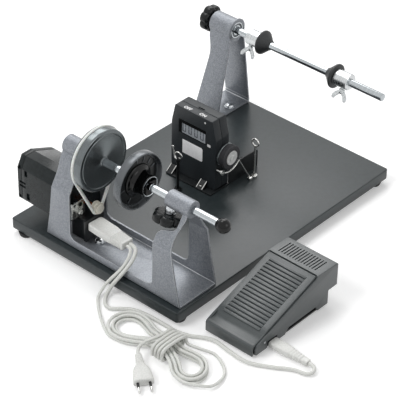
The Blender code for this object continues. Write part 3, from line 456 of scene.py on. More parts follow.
def traced(name, points):
    """A line through points of the bench, each extruded from the last, all left selected."""
    spots = [at(*p) for p in points]
    bpy.ops.object.select_all(action="DESELECT")
    bpy.ops.mesh.primitive_plane_add(size=MM, location=spots[0])
    piece = bpy.context.object
    piece.name = name
    bpy.ops.object.mode_set(mode="EDIT")
    bpy.ops.mesh.select_all(action="SELECT")
    bpy.ops.mesh.merge(type="CENTER")
    for here, there in zip(spots, spots[1:]):
        bpy.ops.mesh.extrude_region_move(TRANSFORM_OT_translate={"value": there - here})
    bpy.ops.mesh.select_all(action="SELECT")
    return piece


def along(axis, position, a, b):
    """The point at a position along an axis, with a and b its other two coordinates in order."""
    return {"x": (position, a, b), "y": (a, position, b), "z": (a, b, position)}[axis]


def turned(name, profile, axis, centre, steps=96):
    """A turned piece. Profile points are (position, radius) from the axis and back, or a closed
    ring of points round a bore."""
    a, b = centre
    bored = profile[0][1] > 0
    line = profile + profile[:1] if bored else profile
    piece = traced(name, [along(axis, position, a + radius, b) for position, radius in line])
    pole = {"x": (1, 0, 0), "y": (0, 1, 0), "z": (0, 0, 1)}[axis]
    bpy.ops.mesh.spin(steps=steps, angle=2 * math.pi, center=at(*along(axis, 0, a, b)), axis=pole)
    bpy.ops.mesh.select_all(action="SELECT")
    bpy.ops.mesh.remove_doubles(threshold=0.000002)
    return settle(shaped(piece))


def lathe(name, profile, axis, centre, steps, angle, look, body, slot, *nodes):
    """A turned piece, shaded smooth but for edges sharper than an angle, and fitted."""
    return fit(smooth(turned(name, profile, axis, centre, steps), angle), look, body, slot, *nodes)


# Nickelled pins, sleeved in black for half their length.
nickel = surface("nickel_plate", "#c3c3c0", "#d8d8d6", 3.0, (0.16, 0.24), 1.0)
pin_sleeve = surface("black_pin_sleeve", "#141516", "#1c1d1e", 2.0, (0.35, 0.45))
SLEEVE = [(53.6, 0), (53.6, 2), (62.6, 2), (63, 1.85), (63, 0)]
PIN = [(62.9, 0), (62.9, 1.9), (71.8, 1.9), (72.7, 1.5), (73, 0.8), (73, 0)]
for side, y in (("left", 8.75), ("right", -8.75)):
    for part, profile, look, slot in (("sleeve", SLEEVE, pin_sleeve, "black_plastic"),
                                      ("pin", PIN, nickel, "chrome")):
        piece = turned(f"plug_{part}_{side}", profile, "x", (y, 0), 32)
        place(smooth(piece), PLUG)
        fit(piece, look, "machine", slot)

# The pedal's lead: a thicker white cord from the same connector, over the board's edge and along
# the table to the moulded connector in the pedal's side.
PEDAL_CORD_R = 3.1
PEDAL_ROUTE = [(38.8, -208.9, 35), (46.5, -209.3, 35), (55, -213.5, 33), (60.8, -226, 26.5),
               (61.6, -240.5, 18.4), (57.5, -250, 8), (49, -256.5, -8), (45.5, -262, -19),
               (49, -271, -22.6), (60, -283, -23.3), (72, -285, -23.3), (84, -275, -23.3),
               (98, -265, -23.3), (120, -260, -23.3), (148, -259, -23.3), (176, -258.5, -23.3),
               (197, -253, -23.3), (214, -243, -23.3), (233, -236.5, -23.3), (262, -240, -23.3),
               (296, -240.6, -23.3), (330, -224, -23.3), (345, -214, -23.3), (357, -207.7, -23.3),
               (368.5, -205.2, -23.2), (375.6, -202, -22.7), (378.6, -196, -21.7),
               (376.4, -190, -20.5), (370.6, -187, -19.6), (364.3, -187, -19.4)]
pedal_points = smooth_run(PEDAL_ROUTE, 2.5)
pedal_lead = lay_cord("pedal_lead", pedal_points, PEDAL_CORD_R)
fit(pedal_lead, cord_pvc, "machine", "white_cord", "pedal_cord")

stations = [(0, 8.6, 4.8), (0.6, 9.3, 5.4), (20.7, 9.5, 5.6), (28, 8.9, 5.4), (34.6, 8.3, 5.2)]
stations += rib_stations(35.7, 4.7, 5, 7.9, 5.0, 0.42, 0.9)
stations += [(60.6, 5.7, 4.8), (66, 5.2, 4.6), (66.7, 4.4, 4.0)]
plug_in = bevel(drawn_out("pedal_plug", stations, 4.5, 44), 0.3, 2, 50)
move(plug_in, Matrix.Translation((297.3, -187, -18.2)) @ Matrix.Rotation(math.atan(1.2 / 73), 4, "Y"))
fit(plug_in, moulded_pvc, "machine", "white_plastic", "pedal_connector")

# The base board: black laminate on a panel board, sawn to size, its corners and edges rounded off
# with a file. Four turned rubber feet are screwed on below.
BOARD_HALF_X, BOARD_HALF_Y, BOARD_T = 171.5, 250.0, 18.0
FOOT_SPOTS = {"front_left": (-150, -240), "front_right": (158, -232), "rear_left": (-150, 236),
              "rear_right": (158, 232)}


def rounded(corners, steps=6):
    """A closed outline whose corners, (a, b, radius), are rounded."""
    outline = []
    for before, (a, b, radius), after in zip(corners[-1:] + corners, corners, corners[1:] + corners[:1]):
        here = Vector((a, b))
        if not radius:
            outline.append((a, b))
            continue
        back, on = ((Vector(spot[:2]) - here).normalized() for spot in (before, after))
        half = back.angle(on) / 2
        heart = here + (back + on).normalized() * radius / math.sin(half)
        start, end = ((here + way * radius / math.tan(half) - heart).normalized() for way in (back, on))
        outline += [tuple(heart + start.slerp(end, k / steps) * radius) for k in range(steps + 1)]
    return outline


def slab(name, axis, outline, low, high):
    """A flat piece: an outline filled at one position along an axis and pushed out to another."""
    piece = traced(name, [along(axis, low, a, b) for a, b in outline])
    bpy.ops.mesh.edge_face_add()
    push = Vector(along(axis, high - low, 0, 0)) * MM
    bpy.ops.mesh.extrude_region_move(TRANSFORM_OT_translate={"value": push})
    return settle(shaped(piece))


def corner_posts(low, high, radius):
    """The rounded rectangle between two corners, as an outline."""
    return rounded([(low[0], low[1], radius), (high[0], low[1], radius), (high[0], high[1], radius),
                    (low[0], high[1], radius)])


# The laminate is satin and reflects the room well at this angle. Its orange peel is drawn 6 mm wide.
black_laminate = surface("black_laminate", "#262d2f", "#2d3436", 6.0, (0.3, 0.36), relief=0.01,
                         Specular_IOR_Level=0.42)
top_outline = corner_posts((-BOARD_HALF_X, -BOARD_HALF_Y), (BOARD_HALF_X, BOARD_HALF_Y), 4.0)
bench_board = bevel(slab("bench_board", "z", top_outline, -BOARD_T, 0), 1.3, 3, 60)
fit(bench_board, black_laminate, "machine", "board", "base_board")

foot_rubber = surface("black_foot_rubber", "#161617", "#202021", 3.0, (0.7, 0.85), relief=0.03)
for name, spot in FOOT_SPOTS.items():
    profile = [(-BOARD_T - 0.3, 0), (-BOARD_T - 0.3, 12), (-BOARD_T - 1.6, 12.2), (-BOARD_T - 3, 12),
               (FLOOR + 1.2, 10.3), (FLOOR + 0.3, 9.6), (FLOOR, 8.8), (FLOOR, 4), (FLOOR + 1.5, 3.4),
               (FLOOR + 1.5, 0)]
    lathe(f"rubber_foot_{name}", profile, "z", spot, 48, 35, foot_rubber, "machine", "rubber",
          f"board_foot_{name}")

# The spindle bracket: one 2.5 mm steel sheet, cut out, folded up into a channel whose walls lean in,
# with the head tube, the tail sleeve and the clamp's boss welded on. It is sprayed in hammertone.
SHEET = 2.5
DRIVE_Y, DRIVE_Z, MOTOR_Z = -200.0, 150.0, 60.0
DRIVE_AXIS, MOTOR_AXIS = (DRIVE_Y, DRIVE_Z), (DRIVE_Y, MOTOR_Z)
CLAMP_X = 116.0
CLAMP_TILT = math.radians(15)
BRACKET_BOLT, STAND_BOLT = (-28.0, -204.0), (-131.0, 211.0)


def combine(piece, operation, *tools):
    """Join a piece with tools, cut it with them, or keep what it shares with them."""
    for tool in tools:
        step = piece.modifiers.new("shape", "BOOLEAN")
        step.operation = operation
        step.solver = "EXACT"
        step.object = tool
        bpy.context.view_layer.objects.active = piece
        bpy.ops.object.modifier_apply(modifier=step.name)
        bpy.data.objects.remove(tool)
    return piece


def bar(axis, centre, radius, low, high, steps=48):
    """A round bar to join or to cut with."""
    return turned("bar", [(low, 0), (low, radius), (high, radius), (high, 0)], axis, centre, steps)


def folded_sheet(name, centre_y, half, knee, top_half, top, low_x, high_x):
    """A floor and two walls that lean in above the knee, with the bends rounded."""
    lean = math.atan2(half - top_half, top - knee)
    inner_half = half - SHEET
    inner_top = (top_half - SHEET * math.cos(lean), top - SHEET * math.sin(lean))
    right = [(half, 0.3, 3.4), (half, knee, 12), (top_half, top, 0), (*inner_top, 0),
             (inner_half, knee - SHEET * math.tan(lean / 2), 9), (inner_half, 0.3 + SHEET, 1)]
    left = [(-y, z, radius) for y, z, radius in reversed(right)]
    outline = [(centre_y + y, z) for y, z in rounded(right + left)]
    return slab(name, "x", outline, low_x, high_x)


# Hammertone enamel: silver paint with leafing flakes that draws together into small hammered
# cells. The cells are drawn 1.8 mm across, the size at which the photograph shows their grain.
hammertone = surface("hammertone_enamel", "#868a90", "#9a9ea4", 5.0, (0.36, 0.46), 0.35)
spray = add(hammertone, "TexCoord")
cells = add(hammertone, "TexVoronoi", {"feature": "SMOOTH_F1", "Vector": spray.outputs["Object"],
                                       "Scale": 1000 / 1.8, "Smoothness": 0.3})
flakes = ramp(hammertone, cells.outputs["Distance"], ((0.12, "#abafb4"), (0.62, "#6f737a")))
enamel = hammertone.node_tree.nodes["Principled BSDF"]
mottle = add(hammertone, "Mix", {"data_type": "RGBA", "Factor": 0.55, 6: flakes,
                                 7: enamel.inputs["Base Color"].links[0].from_socket})
hammertone.node_tree.links.new(mottle.outputs[2], enamel.inputs["Base Color"])
dimples = add(hammertone, "Bump", {"Height": cells.outputs["Distance"], "Distance": 0.12 * MM,
                                   "Strength": 0.6})
hammertone.node_tree.links.new(dimples.outputs["Normal"], enamel.inputs["Normal"])

# A lighter metal colour for the narrow faces along the sheet's rounded edges: a painted highlight.
edge_highlight_metal = surface("painted_edge_highlight", "#c6c9cc", "#d6d9db", 3.0, (0.3, 0.42), 0.6)


def paint_edge_highlight(piece, widest):
    """Paint a lighter metal colour on the narrow faces of the rounded edges: a painted highlight where the
    edges catch the light.
    """
    piece.data.materials.append(edge_highlight_metal)
    spots = piece.data.vertices
    for face in piece.data.polygons:
        longest = max((spots[a].co - spots[b].co).length for a, b in face.edge_keys)
        if face.area < widest * MM * longest:
            face.material_index = 1


front_view = [(-104, -1, 0), (-96, 45, 120), (-91, 90, 60), (-90, 115, 40), (-93, 135, 16), (-93, 152, 0),
              (-54, 152, 0), (-54, 14.5, 11.5), (113, 14.5, 11.5)]
front_view += [(113.5, 98, 20), (114.5, 107, 8), (120, 113, 10), (134, 117.5, 8), (140, 119, 4),
               (143.6, 122.5, 4), (144.8, 129, 10), (146, 152, 0), (154.5, 152, 0), (153.5, 137, 12),
               (150, 125, 20), (147, 115, 20), (146, 106, 20), (147, 97, 20), (149.5, 87, 40),
               (152, 72, 40), (156, 49, 60), (167, -1, 0)]
spindle_channel = folded_sheet("spindle_channel", DRIVE_Y, 40.5, 92, 10.2, 147.9, -110, 175)
combine(spindle_channel, "INTERSECT", slab("cutout", "y", rounded(front_view), DRIVE_Y - 50, DRIVE_Y + 50))
combine(spindle_channel, "DIFFERENCE", bar("x", DRIVE_AXIS, 8.3, -100, -40),
        bar("x", DRIVE_AXIS, 6.4, 95, 170), bar("z", BRACKET_BOLT, 3.4, -2, 5))
bevel(spindle_channel, 0.35, 2, 40)
fit(spindle_channel, hammertone, "machine", "hammertone", "spindle_bracket")
# The bracket's rounded edges get the painted highlight.
paint_edge_highlight(spindle_channel, 0.4)

profile = [(-93, 8.3), (-93, 13.6), (-92.1, 14.5), (-50.9, 14.5), (-50, 13.6), (-50, 8.3)]
lathe("head_tube", profile, "x", DRIVE_AXIS, 96, 35, hammertone, "machine", "hammertone")
profile = [(110.5, 6.4), (110.5, 12.5), (111.5, 13.5), (154.5, 13.5), (155.5, 12.5), (155.5, 6.4)]
lathe("tail_sleeve", profile, "x", DRIVE_AXIS, 96, 35, hammertone, "machine", "hammertone")


def leant(piece):
    """Lean a piece that is drawn upright under the tail rod forward about the rod's axis."""
    piece.data.transform(Matrix.Translation(at(0, DRIVE_Y, DRIVE_Z)) @ Matrix.Rotation(-CLAMP_TILT, 4, "X")
                         @ Matrix.Translation(-at(0, DRIVE_Y, DRIVE_Z)))
    piece.data.update()
    return piece


# The two bolts, in the bracket's floor and the stand's: a domed nut head on a washer, zinc plated
# and bright.
zinc = surface("bright_zinc_plate", "#b4b8bc", "#cfd2d4", 4.0, (0.14, 0.24), 1.0, relief=0.01)
for name, spot, node in (("bracket_fixing", BRACKET_BOLT, "bracket_bolt"),
                         ("stand_fixing", STAND_BOLT, "stand_bolt")):
    dome = [(-9.8, 0), (-9.8, 2.9), (3.1, 2.9), (3.1, 8.9), (4.4, 8.9), (4.7, 8.6), (4.7, 7.2)]
    dome += [(4.7 + 3.6 * math.sin(t), 7.2 * math.cos(t)) for t in np.linspace(0.12, math.pi / 2, 10)[:-1]]
    dome += [(8.3, 0)]
    lathe(name, dome, "z", spot, 64, 40, zinc, "machine", "steel", node)

# The motor: a sewing machine motor in a moulded black case with a sloped roof, its left end closed
# by a cover. The case is slotted there for cooling.
motor_black = surface("black_moulded_phenolic", "#1a1f20", "#212627", 6.0, (0.2, 0.26), relief=0.004,
                      Specular_IOR_Level=0.22)


def about_drive(outline):
    """An outline drawn about the drive's plane, moved to its place."""
    return [(DRIVE_Y + y, z) for y, z in outline]


case_end = about_drive(rounded([(-36.5, 90, 1.2), (-36.5, 33, 3), (36.5, 33, 3), (36.5, 90, 2.5), (30, 93, 2),
                                (-8, 109, 1.5), (-26.5, 109, 1.2)]))
case_room = about_drive([(-33, 36), (33, 36), (33, 87), (28.5, 90), (-8.7, 105.5), (-24.3, 105.5), (-33, 89)])


def vents():
    """The cooling slots and screw sinks at the left end of the case's front."""
    return [slab("vent", "y", corner_posts(low, high, 0.5), DRIVE_Y - 40, DRIVE_Y - 33.6)
            for low, high in (((-152.5, 79.5), (-146.5, 90)), ((-164, 63.6), (-151, 67.4)),
                              ((-164, 57), (-151, 60.8)), ((-149.5, 38), (-143, 50)))]


motor_housing = slab("motor_housing", "x", case_end, -158, -66)
combine(motor_housing, "DIFFERENCE", slab("room", "x", case_room, -160, -69),
        bar("x", MOTOR_AXIS, 3.3, -72, -60))
combine(bevel(motor_housing, 0.5, 2, 40), "DIFFERENCE", *vents())
fit(smooth(motor_housing), motor_black, "machine", "black_plastic", "motor_case")

motor_cap = slab("motor_cap", "x", case_end, -168, -158.3)
bevel(motor_cap, 1.6, 4, 40)
combine(motor_cap, "DIFFERENCE", *vents(), bar("y", (-163.6, 90.5), 2.9, -240, -233.5, 32),
        bar("y", (-163.6, 38.5), 2.9, -240, -233.5, 32))
fit(smooth(motor_cap), motor_black, "machine", "black_plastic", "motor_end_cover")

# Inside the case: a laminated iron stator and a wound rotor, whose steel shaft comes out at the right
# and carries a small pulley turned from white plastic.


def refinish(look, *nodes):
    """Give a finer finish to CAD nodes whose shape is right."""
    for node in nodes:
        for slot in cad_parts[node].material_slots:
            slot.material = look


stacked_iron = surface("stacked_iron_sheet", "#54575a", "#7c8083", 0.8, (0.4, 0.55), 0.9, relief=0.05,
                       stretch=(1, 0.05, 0.05))
copper_winding = surface("enamelled_copper_wire", "#7a4526", "#a8653a", 0.9, (0.3, 0.45), 0.8, relief=0.06)
refinish(stacked_iron, "motor_stator")
refinish(copper_winding, "motor_rotor")

acetal = surface("white_acetal", "#d9d5c8", "#e8e5da", 2.5, (0.34, 0.44), relief=0.015)
profile = [(-32.6, 0), (-32.6, 3.2), (-41, 3.2), (-41, 9), (-40.6, 9.5), (-39, 9.5), (-38.3, 7.6),
           (-37.4, 6.4), (-36, 6.1), (-34.6, 6.4), (-33.7, 7.6), (-33, 9.5), (-31.9, 9.5), (-31.5, 9),
           (-31.5, 7.4), (-29, 7.4), (-28.4, 7.1), (-28, 6.4), (-28, 0)]
lathe("belt_driver", profile, "x", MOTOR_AXIS, 64, 30, acetal, "motor_shaft", "white_plastic", "motor_pulley")

# The motor's mount: a plated steel angle with round holes, held to the case by a hexagon spacer.
plated = surface("plated_steel_angle", "#a9aba9", "#d2d3cf", 5.0, (0.16, 0.3), 1.0, relief=0.03)
angle_plate = slab("angle_plate", "x", corner_posts((-237.7, 47), (-211, 76), 5.0), -53.7, -51.5)
combine(angle_plate, "UNION",
        slab("return", "y", corner_posts((-65.7, 47.6), (-52, 75.4), 2.0), -237.7, -235.5))
combine(angle_plate, "DIFFERENCE", bar("x", (-219, 68), 3.4, -56, -49, 32),
        bar("x", (-231, 52.5), 1.6, -56, -49, 24), bar("x", (-231, 71), 2.0, -56, -49, 24))
bevel(angle_plate, 0.4, 2, 40)
fit(angle_plate, plated, "machine", "nickel", "motor_mount")
spacer = turned("mount_spacer", [(-51.4, 0), (-51.4, 4.6), (-48.4, 4.6), (-47.9, 4.1), (-47.9, 2.2),
                                 (-48.8, 2.0), (-48.8, 0)], "x", (-221, 55), 6)
fit(bevel(spacer, 0.2, 2, 25), plated, "machine", "nickel")

# The machine's socket: a black moulded inlet at the motor, with a flange that the lead's connector
# covers.
inlet_black = surface("black_moulded_nylon", "#0f1112", "#15181a", 2.0, (0.3, 0.4), relief=0.01)
inlet = slab("inlet_box", "x", corner_posts((-224, 9), (-190, 47), 2.0), -65.7, -38)
combine(inlet, "UNION", slab("flange", "x", corner_posts((-227, 9), (-187, 47), 3.0), -38.5, -35.5))
fit(bevel(inlet, 0.6, 3, 40), inlet_black, "machine", "black_plastic", "machine_socket")

# The spindle: a bright ground steel shaft in a bronze bush, with the big driven pulley, turned from
# dark anodised aluminium, and the round belt that drives it from the motor.
# Ground and polished bar mirrors the room. What grinding is left runs round it, drawn 3 mm wide.
chrome_bar = surface("ground_chromed_bar", "#b1b6b9", "#bbc0c3", 3.0, (0.08, 0.12), 1.0,
                     stretch=(1, 0.04, 0.04))
bronze = surface("sintered_bronze", "#8d6b3c", "#ab864f", 1.2, (0.3, 0.45), 1.0, relief=0.03)
refinish(bronze, "head_bush")
profile = [(-99, 0), (-99, 5.2), (-98.2, 6), (59.2, 6), (60, 5.2), (60, 0)]
lathe("drive_bar", profile, "x", DRIVE_AXIS, 64, 35, chrome_bar, "spindle", "chrome", "drive_shaft")

# Dark anodised aluminium, turned smooth, has a soft metal sheen.
dark_anodised = surface("dark_anodised_aluminium", "#6a6f71", "#73797b", 30.0, (0.22, 0.26), 0.8)
profile = [(-42, 6.3), (-42, 46.6), (-41.4, 47.6), (-40.6, 49.6), (-40, 50), (-39.2, 50), (-38.6, 49.4),
           (-38, 47.6), (-37.2, 46.6), (-36, 46.3), (-34.8, 46.6), (-34, 47.6), (-33.4, 49.4), (-32.8, 50),
           (-24.4, 50), (-22.8, 49.7), (-21.6, 48.8), (-21, 47.4), (-21, 44.1), (-21.3, 43.8),
           (-21.7, 43.4), (-21.7, 43), (-21.3, 42.6), (-21, 42.3), (-21, 9), (-20.4, 8), (-18.4, 7.6),
           (-18, 7.2), (-18, 6.3)]
lathe("driven_pulley", profile, "x", DRIVE_AXIS, 160, 40, dark_anodised, "spindle", "dark_aluminium",
      "drive_pulley")

# Round polyurethane belt, welded into a loop: two straight flights and two wraps.
BELT_X, BELT_R = -36.0, 2.5
LARGE_PITCH, SMALL_PITCH = 49.5, 9.0
polyurethane = surface("offwhite_polyurethane", "#e2e3df", "#eeefec", 2.5, (0.42, 0.52), relief=0.02,
                       Subsurface_Weight=0.05)
lean = math.asin((LARGE_PITCH - SMALL_PITCH) / (DRIVE_Z - MOTOR_Z))
path = [(BELT_X, DRIVE_Y + LARGE_PITCH * math.cos(t), DRIVE_Z + LARGE_PITCH * math.sin(t))
        for t in np.linspace(-lean, math.pi + lean, 72)]
path += [(BELT_X, DRIVE_Y + SMALL_PITCH * math.cos(t), MOTOR_Z + SMALL_PITCH * math.sin(t))
         for t in np.linspace(math.pi + lean, 2 * math.pi - lean, 20)]


def piped(name, points, radius, closed=False):
    """A round bar or wire bent along points of the bench, made a mesh."""
    settle(lay_cord(name, points, radius, closed, 5))
    bpy.ops.object.convert(target="MESH")
    return smooth(bpy.context.object, 50)


round_belt = piped("round_belt", path, BELT_R, closed=True)
fit(round_belt, polyurethane, "machine", "belt", "drive_belt")

# The spool disc: the reel is clamped against it. A grey anodised cup with a thin rim is pressed round
# a black moulded web, which has a few moulded ticks and a pin hole.
satin_grey = surface("satin_grey_anodised", "#595d60", "#66696c", 20.0, (0.26, 0.34), 0.6)
moulded_black = surface("black_glass_filled_nylon", "#0f1112", "#151819", 2.5, (0.28, 0.38), relief=0.01,
                        Specular_IOR_Level=0.35)
profile = [(47.1, 39.4), (43, 39.4), (43, 41.4), (41, 42.3), (40.5, 42.8), (40.5, 43.7), (41, 44.5),
           (41.8, 45), (52.8, 45), (53.8, 44.7), (54.4, 44), (54.5, 43.4), (54.4, 42.8), (54, 42.5),
           (47.6, 42.1), (47.1, 41.8)]
lathe("spool_rim", profile, "x", DRIVE_AXIS, 144, 50, satin_grey, "spindle", "grey_plastic", "spool_disc")
profile = [(43, 6.3), (43, 39.2), (46.6, 39.2), (47, 38.8), (47, 6.3)]
spool_web = turned("spool_web", profile, "x", DRIVE_AXIS, 96)
combine(spool_web, "DIFFERENCE", bar("x", (DRIVE_Y - 20, DRIVE_Z - 27), 1.6, 44.5, 50, 24))
bevel(spool_web, 0.3, 2, 40)
fit(spool_web, moulded_black, "spindle", "grey_plastic")
for k, angle in enumerate((20, 44, 68, 92, 140, 188, 236, 284, 332)):
    tick = slab(f"web_tick_{k}", "x", corner_posts((28.5, -0.8), (37, 0.8), 0.4), 46.9, 48.2)
    turn = Matrix.Translation((0, DRIVE_Y, DRIVE_Z)) @ Matrix.Rotation(math.radians(angle), 4, "X")
    fit(bevel(place(tick, turn), 0.25, 2, 40), satin_grey, "spindle", "grey_plastic")

# The hub that drives the disc: a gloss black flange and cone, with a thin chromed ring in its mouth.
gloss_black = surface("gloss_black_enamel", "#050606", "#080909", 8.0, (0.06, 0.09), Specular_IOR_Level=0.3)
profile = [(47.3, 6.3), (47.3, 25.6), (47.7, 26), (48.6, 25.8), (49.6, 24.8), (50.4, 22), (51.2, 19.4),
           (53, 18), (56, 16.8), (60, 16), (66, 16), (70.4, 16.3), (71.6, 16.2), (72, 15.6), (72, 14.6),
           (69, 12.5), (64, 8.2), (63, 7.6), (63, 6.3)]
lathe("reel_hub", profile, "x", DRIVE_AXIS, 96, 40, gloss_black, "spindle", "gloss_black", "disc_hub")
profile = [(71.4, 14.2), (72.2, 14.6), (72.5, 15.2), (72.2, 15.9), (71.6, 15.8)]
lathe("lock_ring", profile, "x", DRIVE_AXIS, 96, 60, chrome_bar, "spindle", "chrome")

# The tailstock: a chromed bar that slides in the sleeve to press the reel against the disc, with a
# live centre at its nose, a ball to push it by and a lobed knob below that clamps it.
profile = [(70.6, 0), (70.6, 2.4), (76.3, 2.4), (76.3, 5.4), (76.9, 6), (205.6, 6), (206.5, 5.1), (206.5, 0)]
lathe("push_bar", profile, "x", DRIVE_AXIS, 64, 35, chrome_bar, "tailstock", "chrome", "tail_rod")
profile = [(65.5, 0), (65.6, 0.9), (66.1, 1.9), (68.5, 4.3), (70, 5.3), (71.6, 5.8), (75.6, 5.9), (76, 5.5),
           (76, 2.8), (70.2, 2.8), (70.2, 0)]
lathe("live_centre", profile, "x", DRIVE_AXIS, 64, 40, chrome_bar, "tail_centre", "chrome", "tail_nose")
ball = [(207, 0), (207, 6.3), (200.6, 6.3), (200.6, 6.9), (201.2, 7.4)]
ball += [(211 + 11 * math.sin(t), 11 * math.cos(t)) for t in np.linspace(-0.78, math.pi / 2, 28)[:-1]]
ball += [(222, 0)]
lathe("push_ball", ball, "x", DRIVE_AXIS, 96, 40, gloss_black, "tailstock", "gloss_black", "ball_knob")


def lobed(name, axis, centre, stations, radius, lobes, depth, sides=14):
    """A hand knob with round lobes, pushed up ring by ring. Stations are (position, share)."""
    outline = []
    for i in range(lobes * sides):
        turn = 2 * math.pi * i / (lobes * sides)
        reach = radius - depth * (1 - abs(math.cos(turn * lobes / 2)) ** 0.6)
        outline.append((centre[0] + reach * math.cos(turn), centre[1] + reach * math.sin(turn)))
    start = stations[0][1]
    outline = [(centre[0] + (a - centre[0]) * start, centre[1] + (b - centre[1]) * start) for a, b in outline]
    piece = traced(name, [along(axis, stations[0][0], a, b) for a, b in outline])
    bpy.ops.mesh.edge_face_add()
    for (low, share), (high, next_share) in zip(stations, stations[1:]):
        bpy.ops.mesh.extrude_region_move(
            TRANSFORM_OT_translate={"value": Vector(along(axis, high - low, 0, 0)) * MM})
        bpy.ops.transform.resize(value=(next_share / share,) * 3,
                                 center_override=at(*along(axis, high, *centre)))
    return smooth(settle(shaped(piece)), 40)


# Moulded phenolic hand knobs: dull black with a faint shine on the lobes.
knob_black = surface("black_knob_phenolic", "#0d1011", "#151819", 3.0, (0.22, 0.3), relief=0.008,
                     Specular_IOR_Level=0.28)
stations = [(113.5, 0.80), (114.2, 0.91), (115.2, 0.975), (116.4, 1.0), (123.6, 1.0), (126, 0.975),
            (127.6, 0.91), (128.4, 0.84), (128.6, 0.78)]
clamp_grip = leant(lobed("clamp_grip", "z", (CLAMP_X, DRIVE_Y), stations, 25, 6, 4.5))
fit(clamp_grip, knob_black, "clamp", "black_plastic", "clamp_knob")
clamp_nut = turned("clamp_nut", [(129.8, 4.3), (129.8, 7.4), (131, 8.5), (142, 8.5), (142, 4.3)], "z",
                   (CLAMP_X, DRIVE_Y), 48)
fit(leant(smooth(clamp_nut)), zinc, "machine", "steel")
clamp_stud = turned("clamp_stud", [(128, 0), (128, 7.6), (129.2, 7.9), (129.5, 7.6), (129.5, 4), (143.4, 4),
                                   (143.4, 0)], "z", (CLAMP_X, DRIVE_Y), 48)
fit(leant(smooth(clamp_stud)), zinc, "clamp", "steel")

# The supply stand: a second folded and welded sheet steel stand, in the same hammertone, with a tube
# at its head that holds two shielded ball bearings.
STAND_Y, STAND_Z = 207.5, 157.5
STAND_AXIS = (STAND_Y, STAND_Z)
head_view = [(-152, 115, 60), (-159, 140, 25), (-159, 165, 0), (-116, 165, 0), (-116, 115, 0), (-119, -1, 0)]
front_cut = slab("cutout", "y", rounded([(-170, -1, 0)] + head_view), STAND_Y - 50, STAND_Y)
rear_view = [(-170, -1, 0), (-168, 50, 80), (-161, 90, 80)] + head_view
rear_cut = slab("cutout", "y", rounded(rear_view), STAND_Y - 1, STAND_Y + 50)
supply_channel = folded_sheet("supply_channel", STAND_Y, 40.5, 8, 15.2, 158, -175, -110)
combine(supply_channel, "INTERSECT", combine(front_cut, "UNION", rear_cut))
combine(supply_channel, "DIFFERENCE", bar("x", STAND_AXIS, 14.4, -165, -110),
        bar("z", STAND_BOLT, 3.4, -2, 5))
bevel(supply_channel, 0.35, 2, 40)
fit(supply_channel, hammertone, "machine", "hammertone", "supply_stand")
# The stand's rounded edges get the painted highlight.
paint_edge_highlight(supply_channel, 0.4)
profile = [(-162, 14.3), (-162, 16.4), (-161.2, 17.3), (-119.2, 17.3), (-119, 17.6), (-119, 19),
           (-118.4, 19.6), (-116.8, 19.6), (-116, 18.8), (-116, 14.3), (-124.5, 14.3), (-124.5, 11),
           (-153.5, 11), (-153.5, 14.3)]
lathe("supply_tube", profile, "x", STAND_AXIS, 96, 40, hammertone, "machine", "hammertone")

# Ball bearings: ground steel rings with a pressed shield between them.
for side, start, face in (("left", -161.8, -1), ("right", -124.2, 1)):
    middle, half = start + 4, 4.0
    for part, inner, outer, deep in (("outer_ring", 11.8, 14.0, 0.0), ("shield", 8.6, 11.7, 0.9),
                                     ("inner_ring", 6.3, 8.5, 0.2)):
        low, high = middle - half + deep, middle + half - deep
        profile = [(low, inner), (low, outer - 0.3), (low + 0.3, outer), (high - 0.3, outer),
                   (high, outer - 0.3), (high, inner)]
        nodes = [f"stand_bearing_{side}"] if part == "outer_ring" else []
        lathe(f"bearing_{side}_{part}", profile, "x", STAND_AXIS, 72, 40,
              stacked_iron if part == "shield" else chrome_bar, "machine", "steel", *nodes)

# The supply rod: a chromed bar with a hand knob, on which a full spool turns between two cones.
profile = [(-178, 0), (-178, 6), (177.8, 6), (178.7, 5.6), (179, 4.6), (179, 0)]
lathe("spool_bar", profile, "x", STAND_AXIS, 64, 35, chrome_bar, "supply_spindle", "chrome", "supply_rod")
stations = [(-181, 0.76), (-180.4, 0.86), (-179.4, 0.94), (-178, 0.985), (-176, 1.0), (-170.6, 1.0),
            (-168, 0.975), (-166.2, 0.92), (-165.2, 0.85), (-165, 0.78)]
brake_grip = lobed("brake_grip", "x", STAND_AXIS, stations, 22.5, 7, 3.5)
combine(brake_grip, "DIFFERENCE", bar("x", STAND_AXIS, 6.3, -190, -160))
fit(smooth(brake_grip, 40), knob_black, "brake", "black_plastic", "brake_knob")

# A spool holder on each side: a turned aluminium collar with a wing screw, and a hard rubber cone.
# Bright turned aluminium keeps fine rings round it, drawn 0.9 mm apart.
turned_aluminium = surface("turned_aluminium", "#c2c5c6", "#d3d5d6", 0.9, (0.22, 0.3), 1.0, relief=0.004,
                           stretch=(1, 0.05, 0.05))
hard_rubber = surface("black_hard_rubber", "#1d1f20", "#2a2c2d", 2.5, (0.45, 0.58), relief=0.02)
wing_zinc = surface("cast_zinc_wing_screw", "#b4b8b9", "#cfd2d3", 2.2, (0.18, 0.28), 1.0, relief=0.01)
WING_TILT = math.radians(33)
DOWN = Vector((0, -math.sin(WING_TILT), -math.cos(WING_TILT)))


def to_screw(heart):
    """The matrix that lays a part drawn along Z from the origin along a wing screw's own line."""
    return Matrix.Translation(heart) @ Vector((0, 0, 1)).rotation_difference(DOWN).to_matrix().to_4x4()


